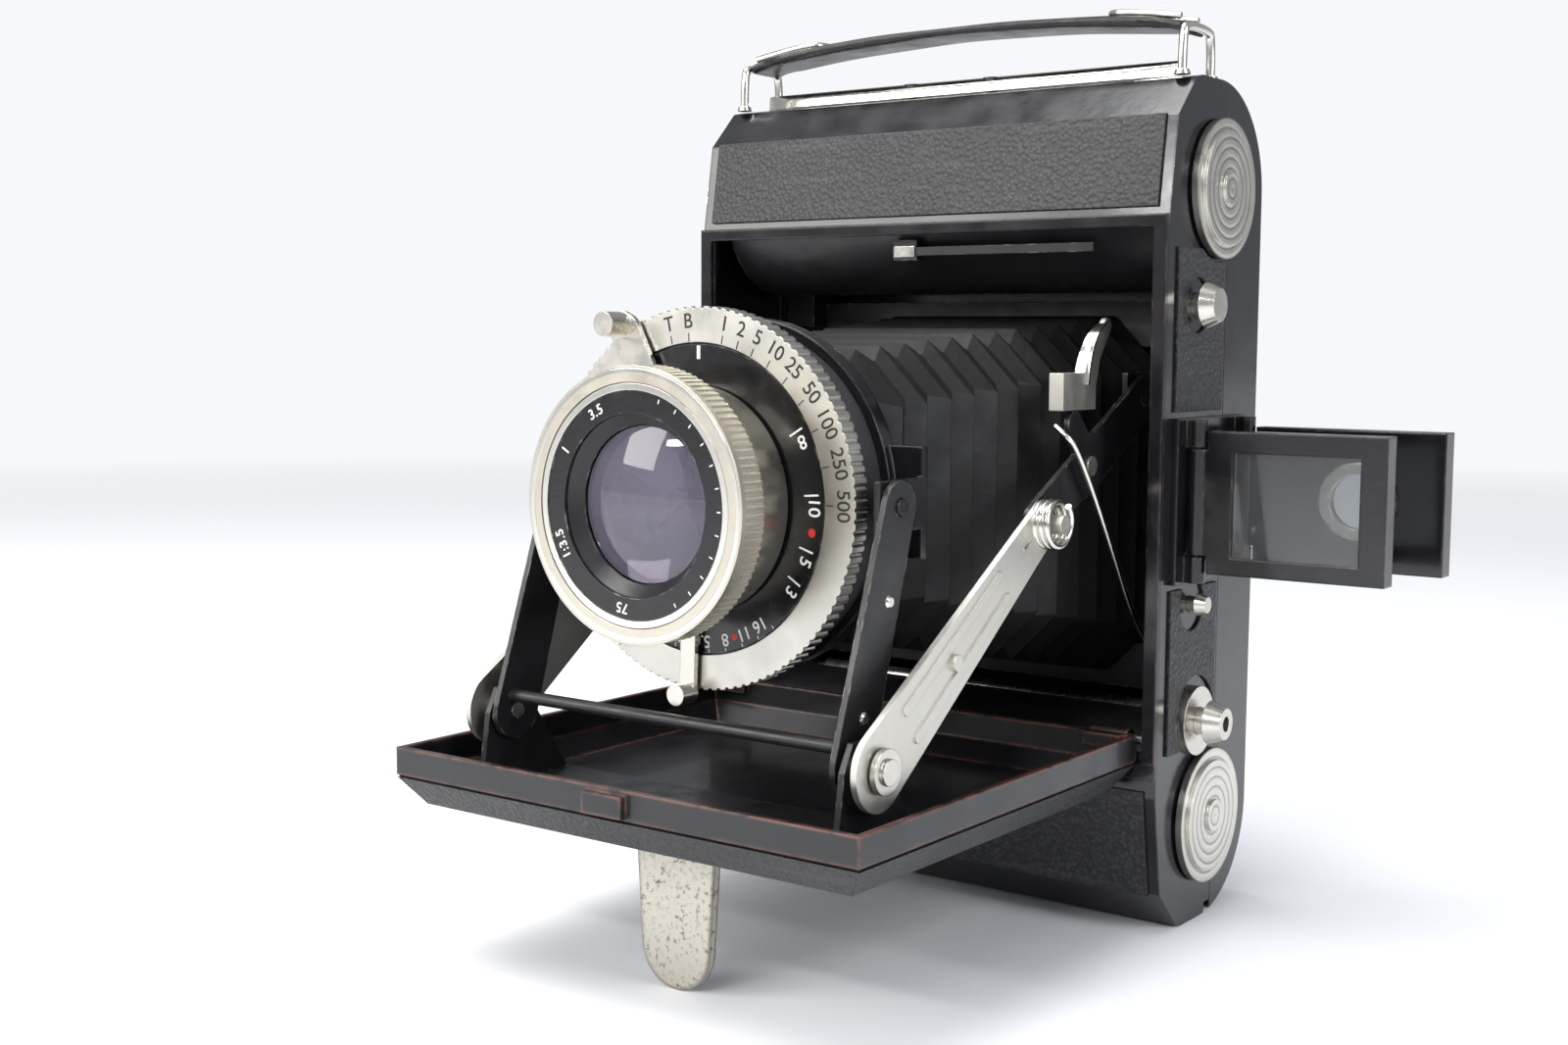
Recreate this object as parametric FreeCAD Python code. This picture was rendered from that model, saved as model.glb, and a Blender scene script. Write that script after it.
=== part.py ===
import FreeCAD, Part
import math
import os

# Folding camera for 4.5 x 6 cm frames on 120 roll film, standing on its lower end with the bed open.
# X runs across the body, "depth" runs from the front plane of the body (0) towards its back,
# and Z is up from the ground.  save() moves the depths so that the origin is the middle of the
# flat on the lower end.

V = FreeCAD.Vector

# ---- driving dimensions, millimetres ----
BASE_FLAT_DEPTH = 11.0
HALF_W = 37.5
WALL = 1.0
BODY_D = 28.8
BODY_H = 111.6
END_R = 14.1
SPOOL_D = BODY_D - END_R
SPOOL_LOW_Z = END_R
SPOOL_TOP_Z = BODY_H - END_R
SEAM_D = 17.6
COVER_GAP = 0.15
GAP = 0.3
OPENING_HALF_W = 35.4
OPENING_LOW_Z = 24.6
OPENING_TOP_Z = 92.0
GATE_D = 23.2
GATE_T = 1.2
GATE_HALF_W = 28.0
GATE_HALF_H = 21.0
CHAMBER_R = 13.2
CHAMBER_WALL = 0.5
FRAME_HALF_W = HALF_W - WALL - 0.1
CHAMBER_HALF_W = 34.4

LENS_Z = 58.7
BOARD_D = -37.2
BOARD_R = 21.6
SHUTTER_R = 20.4
FACE_D = -46.2
SPEED_R = 22.8
SPEED_D = -47.2
FOCUS_R = 16.0
FOCUS_D = -59.1

BED_HINGE = (0.8, 26.2)
BED_HALF_W = 34.9
BED_FRONT_D = -63.6
BED_REAR_D = -0.4
BED_TOP_Z = 27.0
BED_BAND_Z = 23.6
BED_LOW_Z = 20.0
BED_WALL = 0.8
BED_BEVEL = 3.0

LEG_FOOT = (-52.0, 31.0)
LEG_TOP = (-43.0, 59.0)
KNEE = (-16.2, 55.3)
LINK_ROOT = (13.0, 70.0)
FOOT_D = -51.3
FOOT_PIVOT_Z = 18.6
PIN_R = 1.0
PIN_CLEAR = 0.06

LEG_X = (25.3, 26.1)
EAR_X = (26.6, 27.4)
LINK_X = (27.7, 28.4)
STRUT_X = (28.9, 29.7)
COIL_X = (30.0, 32.2)

FINDER_Z = (47.9, 66.3)
FINDER_FRONT_D = 5.9
FINDER_REAR_D = 21.0
FINDER_PIVOT_X = 39.6


# ---- shape helpers ----
def box(x, depth, z):
    solid = Part.makeBox(x[1] - x[0], depth[1] - depth[0], z[1] - z[0])
    solid.translate(V(x[0], depth[0], z[0]))
    return solid


def rod_x(x, depth, z, r):
    return Part.makeCylinder(r, x[1] - x[0], V(x[0], depth, z), V(1, 0, 0))


def rod_y(depth, x, z, r):
    return Part.makeCylinder(r, depth[1] - depth[0], V(x, depth[0], z), V(0, 1, 0))


def rod_z(z, x, depth, r):
    return Part.makeCylinder(r, z[1] - z[0], V(x, depth, z[0]), V(0, 0, 1))


def tube_y(depth, r_out, r_in, x=0.0, z=LENS_Z):
    longer = (depth[0] - 1, depth[1] + 1)
    return rod_y(depth, x, z, r_out).cut(rod_y(longer, x, z, r_in))


def prism_x(points, x):
    corners = [V(x[0], d, z) for d, z in points]
    face = Part.Face(Part.makePolygon(corners + corners[:1]))
    return face.extrude(V(x[1] - x[0], 0, 0))


def prism_y(points, depth):
    corners = [V(x, depth[0], z) for x, z in points]
    face = Part.Face(Part.makePolygon(corners + corners[:1]))
    return face.extrude(V(0, depth[1] - depth[0], 0))


def plate_x(x, start, end, r_start, r_end):
    """A flat link across X with round ends at two (depth, z) points."""
    dd = end[0] - start[0]
    dz = end[1] - start[1]
    length = math.hypot(dd, dz)
    nd = -dz / length
    nz = dd / length
    corners = [(start[0] + nd * r_start, start[1] + nz * r_start),
               (end[0] + nd * r_end, end[1] + nz * r_end),
               (end[0] - nd * r_end, end[1] - nz * r_end),
               (start[0] - nd * r_start, start[1] - nz * r_start)]
    body = prism_x(corners, x)
    for point, r in ((start, r_start), (end, r_end)):
        body = body.fuse(rod_x(x, point[0], point[1], r))
    return body.removeSplitter()


def both_sides(solid):
    mirrored = solid.mirror(V(0, 0, 0), V(1, 0, 0))
    return Part.makeCompound([solid, mirrored])


def fused(solids):
    result = solids[0]
    for solid in solids[1:]:
        result = result.fuse(solid)
    return result.removeSplitter()


def save(name, shape):
    moved = shape.copy()
    moved.translate(V(0, -BASE_FLAT_DEPTH, 0))
    moved.exportStep("parts/" + name + ".step")


def pin_hole(x, point):
    return rod_x((x[0] - 1, x[1] + 1), point[0], point[1], PIN_R + PIN_CLEAR)


# ---- body outline ----
def outline(inset, x):
    """The closed side outline of the body, moved inwards by inset, as a solid between two X."""
    front = [(0.0, BODY_H - 18.8), (2.0, BODY_H - 5.7), (7.2, BODY_H - 0.4), (9.0, BODY_H)]
    top = [(d + inset, z - inset * 0.9) for d, z in front[:2]]
    top.append((front[2][0] + inset * 0.4, front[2][1] - inset))
    top.append((front[3][0], BODY_H - inset))
    r = END_R - inset
    edges = []

    def line(p, q):
        edges.append(Part.LineSegment(V(x[0], p[0], p[1]), V(x[0], q[0], q[1])).toShape())

    low = [(d, BODY_H - z) for d, z in top]
    line(low[0], top[0])
    for p, q in zip(top[:-1], top[1:]):
        line(p, q)
    line(top[-1], (SPOOL_D, SPOOL_TOP_Z + r))
    slope = math.sqrt(0.5) * r

    def corner(z_centre, up):
        ends = [V(x[0], SPOOL_D, z_centre + up * r),
                V(x[0], SPOOL_D + slope, z_centre + up * slope),
                V(x[0], SPOOL_D + r, z_centre)]
        if up < 0:
            ends.reverse()
        edges.append(Part.Arc(*ends).toShape())

    corner(SPOOL_TOP_Z, 1)
    line((SPOOL_D + r, SPOOL_TOP_Z), (SPOOL_D + r, SPOOL_LOW_Z))
    corner(SPOOL_LOW_Z, -1)
    line((SPOOL_D, SPOOL_LOW_Z - r), low[-1])
    for p, q in zip(low[::-1][:-1], low[::-1][1:]):
        line(p, q)
    return Part.Face(Part.Wire(edges)).extrude(V(x[1] - x[0], 0, 0))


def hollow_case():
    outer = outline(0.0, (-HALF_W, HALF_W))
    inner = outline(WALL, (-HALF_W + WALL, HALF_W - WALL))
    return outer.cut(inner)


BACK_HINGE = (SEAM_D, 1.5)
KNUCKLE_R = 1.2
HINGE_PIN_R = 0.5
BED_PIN_R = 0.6
KNUCKLES_BODY = ((-30.0, -10.0), (10.0, 30.0))
KNUCKLES_COVER = ((-9.7, 9.7), (30.3, 34.0), (-34.0, -30.3))


def knuckles(spans):
    return [rod_x(span, BACK_HINGE[0], BACK_HINGE[1], KNUCKLE_R) for span in spans]


HINGE_RELIEF = 1.7
HINGE_ARM_D = (SEAM_D - 3.2, SEAM_D - 0.3)
HINGE_ARM_Z = (0.6, 2.5)


def hinge_relief(span):
    """The room that the lower edge of the back cover turns into as it opens."""
    return box(span, (SEAM_D - HINGE_RELIEF, SEAM_D + 1), (-1, BACK_HINGE[1] + 0.05))


def hinge_void():
    return rod_x((-HALF_W + WALL, HALF_W - WALL), BACK_HINGE[0], BACK_HINGE[1], KNUCKLE_R + 0.15)


def pin_void():
    return rod_x((-HALF_W + WALL, HALF_W - WALL), BACK_HINGE[0], BACK_HINGE[1], HINGE_PIN_R + PIN_CLEAR)


def disc_notch():
    notches = []
    for z in (SPOOL_LOW_Z, SPOOL_TOP_Z):
        notches.append(rod_x((-HALF_W - 1, HALF_W + 1), SPOOL_D, z, DISC_R + 0.4))
    return notches


DISC_R = 9.1
SPINDLE_R = 2.6
TRIPOD_R = 4.0
TRIPOD_POINT = (10.4, 59.0)


def body_shell():
    front_half = box((-HALF_W - 1, HALF_W + 1), (-1, SEAM_D), (-1, BODY_H + 1))
    shell = hollow_case().common(front_half)
    for notch in disc_notch():
        ear = outline(0.0, (-HALF_W, HALF_W)).cut(outline(WALL, (-HALF_W + WALL, HALF_W - WALL)))
        sides = ear.common(notch).cut(box((-HALF_W + WALL, HALF_W - WALL), (-1, 60), (-1, 200)))
        shell = shell.fuse(sides)
    shell = shell.cut(box((-OPENING_HALF_W, OPENING_HALF_W), (-1, 3), (OPENING_LOW_Z, OPENING_TOP_Z)))
    shell = shell.cut(hinge_void())
    shell = shell.cut(rod_x((-HALF_W + WALL, HALF_W - WALL), BED_HINGE[0], BED_HINGE[1], BED_PIN_R + PIN_CLEAR))
    shell = fused([shell] + [box(span, HINGE_ARM_D, HINGE_ARM_Z) for span in KNUCKLES_BODY])
    shell = shell.cut(hinge_relief((-HALF_W - 1, HALF_W + 1)))
    shell = fused([shell] + knuckles(KNUCKLES_BODY) + latch_studs())
    shell = shell.cut(pin_void())
    for z in (SPOOL_LOW_Z, SPOOL_TOP_Z):
        shell = shell.cut(rod_x((-HALF_W - 1, HALF_W + 1), SPOOL_D, z, SPINDLE_R + PIN_CLEAR))
    shell = shell.cut(rod_x((-HALF_W - 1, -30), TRIPOD_POINT[0], TRIPOD_POINT[1], TRIPOD_R + 1.5))
    for depth, z, r in BODY_BUTTONS:
        shell = shell.cut(rod_x((HALF_W - WALL - 1, HALF_W + 1), depth, z, r + PIN_CLEAR))
    save("body_shell", shell)


# depth, height and stem radius of the three buttons on the right side
BODY_BUTTONS = ((8.5, 82.3, 1.6), (8.9, 43.4, 1.0), (10.7, 27.6, 1.8))


def front_frame():
    """The enamelled rim round the bed opening, standing a little proud of the front plane."""
    outer = box((-HALF_W, HALF_W), (-0.6, 0.0), (OPENING_TOP_Z, OPENING_TOP_Z + 1.6))
    lower = box((-HALF_W, HALF_W), (-0.4, 0.0), (OPENING_LOW_Z - 3.4, OPENING_LOW_Z - 1.2))
    side = box((OPENING_HALF_W + 0.3, HALF_W), (-0.6, 0.0), (OPENING_LOW_Z - 1.2, OPENING_TOP_Z))
    save("front_frame", fused([outer, lower, side, side.mirror(V(0, 0, 0), V(1, 0, 0))]))


LEATHER_T = 0.35


def leather_band(x, z, depth):
    skin = outline(-LEATHER_T, x).cut(outline(0.0, (x[0] - 1, x[1] + 1)))
    return skin.common(box((x[0] - 1, x[1] + 1), depth, z))


def leathers():
    half = HALF_W - 1.6
    upper = leather_band((-half, half), (BODY_H - 17.0, BODY_H - 5.4), (-2, 5))
    lower = leather_band((-half, half), (5.4, 19.6), (-2, 5))
    save("leather_front", Part.makeCompound([upper, lower]))
    back = leather_band((-half, half), (12.0, BODY_H - 12.0), (SEAM_D + 6, 40))
    for z in RED_WINDOW_Z:
        back = back.cut(rod_y((20, 40), 0, z, RED_WINDOW_R + 1.4))
    save("leather_back", back)
    sides = []
    for sign in (-1, 1):
        x = (HALF_W, HALF_W + LEATHER_T) if sign > 0 else (-HALF_W - LEATHER_T, -HALF_W)
        panel = box(x, (2.6, SEAM_D - 1.0), (24.0, BODY_H - 22.0))
        for notch in disc_notch():
            panel = panel.cut(notch)
        for depth, z, r in BODY_BUTTONS:
            panel = panel.cut(rod_x((0, 60), depth, z, 6.0 if z < 30 else 3.6))
        panel = panel.cut(box((HALF_W - 1, HALF_W + 2), (2.0, 24.0), (45.6, 68.6)))
        panel = panel.cut(rod_x((-60, 0), TRIPOD_POINT[0], TRIPOD_POINT[1], TRIPOD_R + 2.6))
        sides.append(panel)
    save("leather_sides", Part.makeCompound(sides))


RAIL_X = (31.4, FRAME_HALF_W)
ROLLER_D = 22.0
ROLLER_Z = (25.8, BODY_H - 25.8)
ROLLER_R = 1.4
AXLE_R = 0.8


def film_gate_frame():
    plate_z = (28.4, BODY_H - 28.4)
    plate = box((-FRAME_HALF_W, FRAME_HALF_W), (GATE_D, GATE_D + GATE_T), plate_z)
    gate = box((-GATE_HALF_W, GATE_HALF_W), (GATE_D - 1, GATE_D + GATE_T + 1),
               (LENS_Z - 2.9 - GATE_HALF_H, LENS_Z - 2.9 + GATE_HALF_H))
    pieces = [plate.cut(gate)]
    for z, side in ((SPOOL_LOW_Z, 1), (SPOOL_TOP_Z, -1)):
        ring = rod_x((-CHAMBER_HALF_W, CHAMBER_HALF_W), SPOOL_D, z, CHAMBER_R)
        ring = ring.cut(rod_x((-40, 40), SPOOL_D, z, CHAMBER_R - CHAMBER_WALL))
        near = sorted((z + side * 5.2, z + side * 14.0))
        pieces.append(ring.common(box((-40, 40), (2.4, 19.8), near)))
    for z in ROLLER_Z:
        span = (z - 3.6, 32.0) if z < 50 else (BODY_H - 32.0, z + 3.6)
        for x in (RAIL_X, (-RAIL_X[1], -RAIL_X[0])):
            rail = box(x, (19.6, GATE_D + GATE_T), span)
            pieces.append(rail.cut(rod_x((-40, 40), SPOOL_D, SPOOL_LOW_Z if z < 50 else SPOOL_TOP_Z,
                                         CHAMBER_R - CHAMBER_WALL)))
    for sign in (-1, 1):
        x = sorted((sign * EAR_X[0], sign * EAR_X[1]))
        bracket = box(x, (9.8, GATE_D), (LINK_ROOT[1] - 3.4, LINK_ROOT[1] + 3.4))
        foot = box(sorted((sign * EAR_X[0], sign * (EAR_X[1] + 2.5))), (GATE_D - 0.8, GATE_D),
                   (LINK_ROOT[1] - 3.4, LINK_ROOT[1] + 3.4))
        pin = rod_x(sorted((sign * EAR_X[0], sign * LINK_X[1])), LINK_ROOT[0], LINK_ROOT[1], PIN_R)
        pieces += [bracket, foot, pin]
    frame = fused(pieces)
    for z in ROLLER_Z:
        frame = frame.cut(rod_x((-35, 35), ROLLER_D, z, AXLE_R + PIN_CLEAR))
    save("film_gate_frame", frame)


def film_rollers():
    for name, z in zip(("film_roller_low", "film_roller_top"), ROLLER_Z):
        roller = rod_x((-29.8, 29.8), ROLLER_D, z, ROLLER_R)
        save(name, fused([roller, rod_x((-34, 34), ROLLER_D, z, AXLE_R)]))


SPOOL_HALF_L = 30.8
SPOOL_FLANGE_R = 12.3


def take_up_spool():
    core = rod_x((-SPOOL_HALF_L, SPOOL_HALF_L), SPOOL_D, SPOOL_TOP_Z, 5.0)
    flanges = [rod_x(x, SPOOL_D, SPOOL_TOP_Z, SPOOL_FLANGE_R)
               for x in ((-SPOOL_HALF_L, -SPOOL_HALF_L + 0.7), (SPOOL_HALF_L - 0.7, SPOOL_HALF_L))]
    spool = fused([core] + flanges)
    socket = rod_x((SPOOL_HALF_L - 5, SPOOL_HALF_L + 1), SPOOL_D, SPOOL_TOP_Z, SPINDLE_R + PIN_CLEAR)
    key_slot = rod_x((-SPOOL_HALF_L - 1, -SPOOL_HALF_L + 5), SPOOL_D, SPOOL_TOP_Z, SPINDLE_R)
    save("take_up_spool", spool.cut(socket).cut(key_slot))


def spool_pin(name, z, side):
    """A nickel disc on the side wall with a pin that holds the end of the spool."""
    face = HALF_W + GAP
    disc = rod_x((face, face + 0.9), SPOOL_D, z, DISC_R)
    step = rod_x((face + 0.9, face + 1.3), SPOOL_D, z, DISC_R - 1.6)
    hub = rod_x((face + 1.3, face + 1.6), SPOOL_D, z, 2.2)
    pin = rod_x((SPOOL_HALF_L - 3.4, face), SPOOL_D, z, SPINDLE_R)
    solid = fused([disc, step, hub, pin])
    if side < 0:
        solid = solid.mirror(V(0, 0, 0), V(1, 0, 0))
    save(name, solid)


def winding_knob():
    face = -HALF_W - GAP
    knob = rod_x((face - 3.4, face - 0.6), SPOOL_D, SPOOL_TOP_Z, 9.6)
    teeth = []
    count = 30
    for i in range(count):
        angle = 2 * math.pi * i / count
        teeth.append(rod_x((face - 4, face + 0.1), SPOOL_D + 9.9 * math.cos(angle),
                           SPOOL_TOP_Z + 9.9 * math.sin(angle), 0.55))
    for tooth in teeth:
        knob = knob.cut(tooth)
    boss = rod_x((face - 0.6, face), SPOOL_D, SPOOL_TOP_Z, 5.0)
    shaft = rod_x((face, -SPOOL_HALF_L + 3.4), SPOOL_D, SPOOL_TOP_Z, SPINDLE_R - PIN_CLEAR)
    save("winding_knob", fused([knob, boss, shaft]))


RED_WINDOW_Z = (38.0, 75.0)
RED_WINDOW_R = 3.2
PRESSURE_D = 25.0


def back_cover():
    rear = box((-HALF_W - 1, HALF_W + 1), (SEAM_D + COVER_GAP, 60), (-1, BODY_H + 1))
    cover = hollow_case().common(rear)
    sides = box((-HALF_W - 1, HALF_W + 1), (-1, 60), (-1, BODY_H + 1))
    sides = sides.cut(box((-HALF_W + WALL, HALF_W - WALL), (-2, 61), (-2, BODY_H + 2)))
    for notch in disc_notch():
        wider = notch.common(sides)
        cover = cover.cut(wider)
    cover = cover.cut(hinge_void())
    arms = []
    for span in KNUCKLES_COVER:
        arms.append(box(span, (SEAM_D + 0.3, SEAM_D + 3.0), (0.55, 2.4)))
    cover = fused([cover] + knuckles(KNUCKLES_COVER) + arms)
    cover = cover.common(outline(0.0, (-HALF_W, HALF_W)))
    cover = cover.cut(pin_void())
    for z in RED_WINDOW_Z:
        cover = cover.fuse(rod_y((BODY_D - WALL, BODY_D + 0.5), 0, z, RED_WINDOW_R + 1.2))
        cover = cover.cut(rod_y((PRESSURE_D, 40), 0, z, RED_WINDOW_R))
    save("back_cover", cover.removeSplitter())


def red_windows():
    glasses = [rod_y((BODY_D - WALL, BODY_D + 0.2), 0, z, RED_WINDOW_R) for z in RED_WINDOW_Z]
    save("red_windows", Part.makeCompound(glasses))


def pressure_plate():
    plate = box((-29.6, 29.6), (PRESSURE_D, PRESSURE_D + 0.8), (31.0, BODY_H - 31.0))
    for z in RED_WINDOW_Z:
        plate = plate.cut(rod_y((20, 30), 0, z, RED_WINDOW_R + 0.6))
    leaf = box((-20, -12), (PRESSURE_D + 0.8, BODY_D - WALL), (52, 60))
    other = leaf.mirror(V(0, 0, 0), V(1, 0, 0))
    save("pressure_plate", fused([plate, leaf, other]))


def hinge_pins():
    """The pin of the back cover and the pin of the bed, both held in the body."""
    back = rod_x((-34, 34), BACK_HINGE[0], BACK_HINGE[1], HINGE_PIN_R)
    half = HALF_W - WALL
    front = rod_x((-half, half), BED_HINGE[0], BED_HINGE[1], BED_PIN_R)
    save("hinge_pins", Part.makeCompound([back, front]))


def latch_studs():
    studs = []
    for x in STUD_X:
        studs.append(rod_z((BODY_H - 0.5, LATCH_Z[1] + 0.1), x, 11.3, 0.6))
        studs.append(rod_z((LATCH_Z[1] + 0.1, LATCH_Z[1] + 0.6), x, 11.3, 1.4))
    return studs


LATCH_D = (9.4, 13.2)
STUD_X = (-8.0, 5.0)
LATCH_Z = (BODY_H + GAP, BODY_H + 1.7)


def back_latch():
    bar = box((-33.6, 33.6), LATCH_D, LATCH_Z)
    for x in (-33.6, 33.6):
        bar = bar.cut(box((x - 2, x + 2), (LATCH_D[0] - 1, LATCH_D[0] + 1), (LATCH_Z[0] - 1, LATCH_Z[1] + 1)))
    slot = box((-12, 12), (10.6, 12.0), (LATCH_Z[0] - 1, LATCH_Z[1] + 1))
    save("back_latch_bar", bar.cut(slot))


STRAP_D = (7.2, 15.6)
STRAP_T = 1.5
STRAP_END_X = 34.6
STRAP_TOP_Z = 121.0
STRAP_LOW_Z = 118.6
STAPLE_X = 35.4
STAPLE_D = (8.0, 14.8)
STAPLE_R = 0.7
STAPLE_BASE_R = 1.1
STAPLE_TOP_Z = 117.9


def strap():
    """A flat leather carrying strap that arches a little over the top."""
    steps = 12
    upper = []
    for i in range(steps + 1):
        t = i / steps
        rise = math.sin(math.pi * t)
        upper.append((-STRAP_END_X + 2 * STRAP_END_X * t, STRAP_LOW_Z + (STRAP_TOP_Z - STRAP_LOW_Z) * rise))
    lower = [(x, z - STRAP_T) for x, z in reversed(upper)]
    save("carry_strap", prism_y(upper + lower, STRAP_D))


def strap_fittings():
    """A wire staple at each end that the strap hangs on, and a loop round the strap."""
    pieces = []
    for sign in (-1, 1):
        x = sign * STAPLE_X
        wires = [rod_z((BODY_H, STAPLE_TOP_Z), x, d, STAPLE_R) for d in STAPLE_D]
        wires.append(rod_y((STAPLE_D[0] - STAPLE_R, STAPLE_D[1] + STAPLE_R), x, STAPLE_TOP_Z, STAPLE_R))
        bases = [rod_z((BODY_H, BODY_H + 0.6), x, d, STAPLE_BASE_R) for d in STAPLE_D]
        pieces.append(fused(wires + bases))
    loop = box((19.0, 31.0), (6.0, 16.8), (115.8, 116.7))
    pieces.append(loop.cut(box((20.0, 30.0), (6.9, 15.9), (115, 118))))
    save("strap_fittings", Part.makeCompound(pieces))


# ---- bed ----
def rectangle(inset, z):
    x = BED_HALF_W - inset
    near = BED_REAR_D - inset
    far = BED_FRONT_D + inset
    corners = [V(-x, far, z), V(x, far, z), V(x, near, z), V(-x, near, z)]
    return Part.makePolygon(corners + corners[:1])


def tray(inset, floor_z, top_z, bevel):
    slope = Part.makeLoft([rectangle(inset + bevel, floor_z), rectangle(inset, BED_BAND_Z)], True, True)
    band = Part.Face(rectangle(inset, BED_BAND_Z)).extrude(V(0, 0, top_z - BED_BAND_Z))
    return slope.fuse(band)


BED_FLOOR_Z = 21.0
CATCH_TAB = ((-3.0, 3.0), (BED_FRONT_D - 0.9, BED_FRONT_D + 0.2), (23.8, 26.4))
LUG_SPAN = (28.0, 33.4)


def bed():
    shell = tray(0.0, BED_LOW_Z, BED_TOP_Z, BED_BEVEL).cut(
        tray(BED_WALL, BED_FLOOR_Z, BED_TOP_Z + 1, BED_BEVEL - 0.6))
    pieces = [shell]
    for sign in (-1, 1):
        span = sorted((sign * LUG_SPAN[0], sign * LUG_SPAN[1]))
        knuckle = rod_x(span, BED_HINGE[0], BED_HINGE[1], 1.3)
        arm = box(span, (-2.2, BED_HINGE[0]), (BED_HINGE[1] - 0.9, BED_HINGE[1] + 0.8))
        pieces += [knuckle, arm]
    pieces.append(box(CATCH_TAB[0], CATCH_TAB[1], CATCH_TAB[2]))
    whole = fused(pieces)
    whole = whole.cut(rod_x((-40, 40), BED_HINGE[0], BED_HINGE[1], BED_PIN_R + PIN_CLEAR))
    whole = whole.cut(box((-7.0, 7.0), (FOOT_D - 3.4, FOOT_D + 22), (BED_LOW_Z - 1, BED_LOW_Z)))
    save("bed", whole)


def bed_leather():
    """The covering of the outside of the bed: the flat panel and the bevels round it."""
    skin = Part.makeLoft([rectangle(BED_BEVEL - LEATHER_T, BED_LOW_Z - LEATHER_T),
                          rectangle(0.05, BED_BAND_Z - 0.4)], True, True)
    skin = skin.cut(tray(0.0, BED_LOW_Z, BED_TOP_Z, BED_BEVEL))
    save("bed_leather", skin.cut(box((-7.4, 7.4), (FOOT_D - 4, FOOT_D + 26), (0, 30))))


def bed_bracket():
    base = box((-EAR_X[1], EAR_X[1]), (-57.0, -41.0), (BED_FLOOR_Z, BED_FLOOR_Z + 0.8))
    pieces = [base]
    for sign in (-1, 1):
        x = sorted((sign * EAR_X[0], sign * EAR_X[1]))
        ear = prism_x([(-57.0, BED_FLOOR_Z), (-55.6, 31.0), (-54.0, 34.0), (-50.0, 34.0),
                       (-47.0, 30.0), (-41.0, BED_FLOOR_Z)], x)
        pieces.append(ear.cut(pin_hole(x, LEG_FOOT)))
    save("bed_bracket", fused(pieces))
    rivet = fused([rod_x((LEG_X[0], STRUT_X[1] + 0.3), LEG_FOOT[0], LEG_FOOT[1], PIN_R),
                   rod_x((STRUT_X[1] + 0.3, STRUT_X[1] + 1.0), LEG_FOOT[0], LEG_FOOT[1], 2.6),
                   rod_x((STRUT_X[1] + 1.0, STRUT_X[1] + 1.4), LEG_FOOT[0], LEG_FOOT[1], 1.5)])
    save("main_rivets", both_sides(rivet))


FOOT_TOP_W = 12.0
FOOT_T = 1.2


def foot():
    """The fold-out leg under the bed: a tapered plate with a round end that reaches the ground."""
    half = FOOT_TOP_W / 2
    end_r = 5.2
    blade = prism_y([(-half, FOOT_PIVOT_Z - 1.5), (half, FOOT_PIVOT_Z - 1.5), (end_r, end_r), (-end_r, end_r)],
                    (FOOT_D, FOOT_D + FOOT_T))
    tip = rod_y((FOOT_D, FOOT_D + FOOT_T), 0, end_r, end_r)
    collar = rod_x((-half, half), FOOT_D + FOOT_T / 2, FOOT_PIVOT_Z, 1.1)
    neck = box((-half, half), (FOOT_D, FOOT_D + FOOT_T), (FOOT_PIVOT_Z - 2, FOOT_PIVOT_Z))
    whole = fused([blade, tip, collar, neck])
    hole = rod_x((-10, 10), FOOT_D + FOOT_T / 2, FOOT_PIVOT_Z, 0.6 + PIN_CLEAR)
    save("bed_foot", whole.cut(hole))
    depth = FOOT_D + FOOT_T / 2
    pin = rod_x((-half - 1.4, half + 1.4), depth, FOOT_PIVOT_Z, 0.6)
    ears = []
    for sign in (-1, 1):
        x = sorted((sign * (half + 0.3), sign * (half + 1.3)))
        ears.append(box(x, (depth - 1.3, depth + 1.3), (FOOT_PIVOT_Z - 1.2, BED_LOW_Z + 0.0)))
    save("foot_hinge", fused(ears + [pin]))


# ---- struts ----
def lower_struts():
    """The nickel side plate from the bed to the knee, with two pressed ribs."""
    body = plate_x(STRUT_X, LEG_FOOT, KNEE, 4.7, 2.9)
    body = body.cut(pin_hole(STRUT_X, LEG_FOOT))
    dd = KNEE[0] - LEG_FOOT[0]
    dz = KNEE[1] - LEG_FOOT[1]
    length = math.hypot(dd, dz)
    ribs = []
    for offset in (-2.1, 2.1):
        start = (LEG_FOOT[0] + 0.17 * dd - offset * dz / length, LEG_FOOT[1] + 0.17 * dz + offset * dd / length)
        end = (LEG_FOOT[0] + 0.72 * dd - offset * dz / length * 0.8,
               LEG_FOOT[1] + 0.72 * dz + offset * dd / length * 0.8)
        ribs.append(plate_x((STRUT_X[1], STRUT_X[1] + 0.25), start, end, 0.6, 0.6))
    save("lower_struts", both_sides(fused([body] + ribs)))


def strut_rivets():
    middle = (LEG_FOOT[0] + 0.41 * (KNEE[0] - LEG_FOOT[0]), LEG_FOOT[1] + 0.41 * (KNEE[1] - LEG_FOOT[1]))
    rivet = rod_x((STRUT_X[1], STRUT_X[1] + 0.8), middle[0], middle[1], 1.0)
    knee_pin = rod_x((STRUT_X[1], COIL_X[1] + 0.3), KNEE[0], KNEE[1], 1.2)
    save("strut_rivets", Part.makeCompound([both_sides(rivet), both_sides(knee_pin)]))
    coil = rod_x(COIL_X, KNEE[0], KNEE[1], 3.2).cut(rod_x((20, 40), KNEE[0], KNEE[1], 1.9))
    save("knee_springs", both_sides(coil))


TAIL_BEND = (-1.6, 76.0)
TAIL_TIP = (1.8, 79.6)
TAB_LOW = (-6.5, 67.0)


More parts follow.
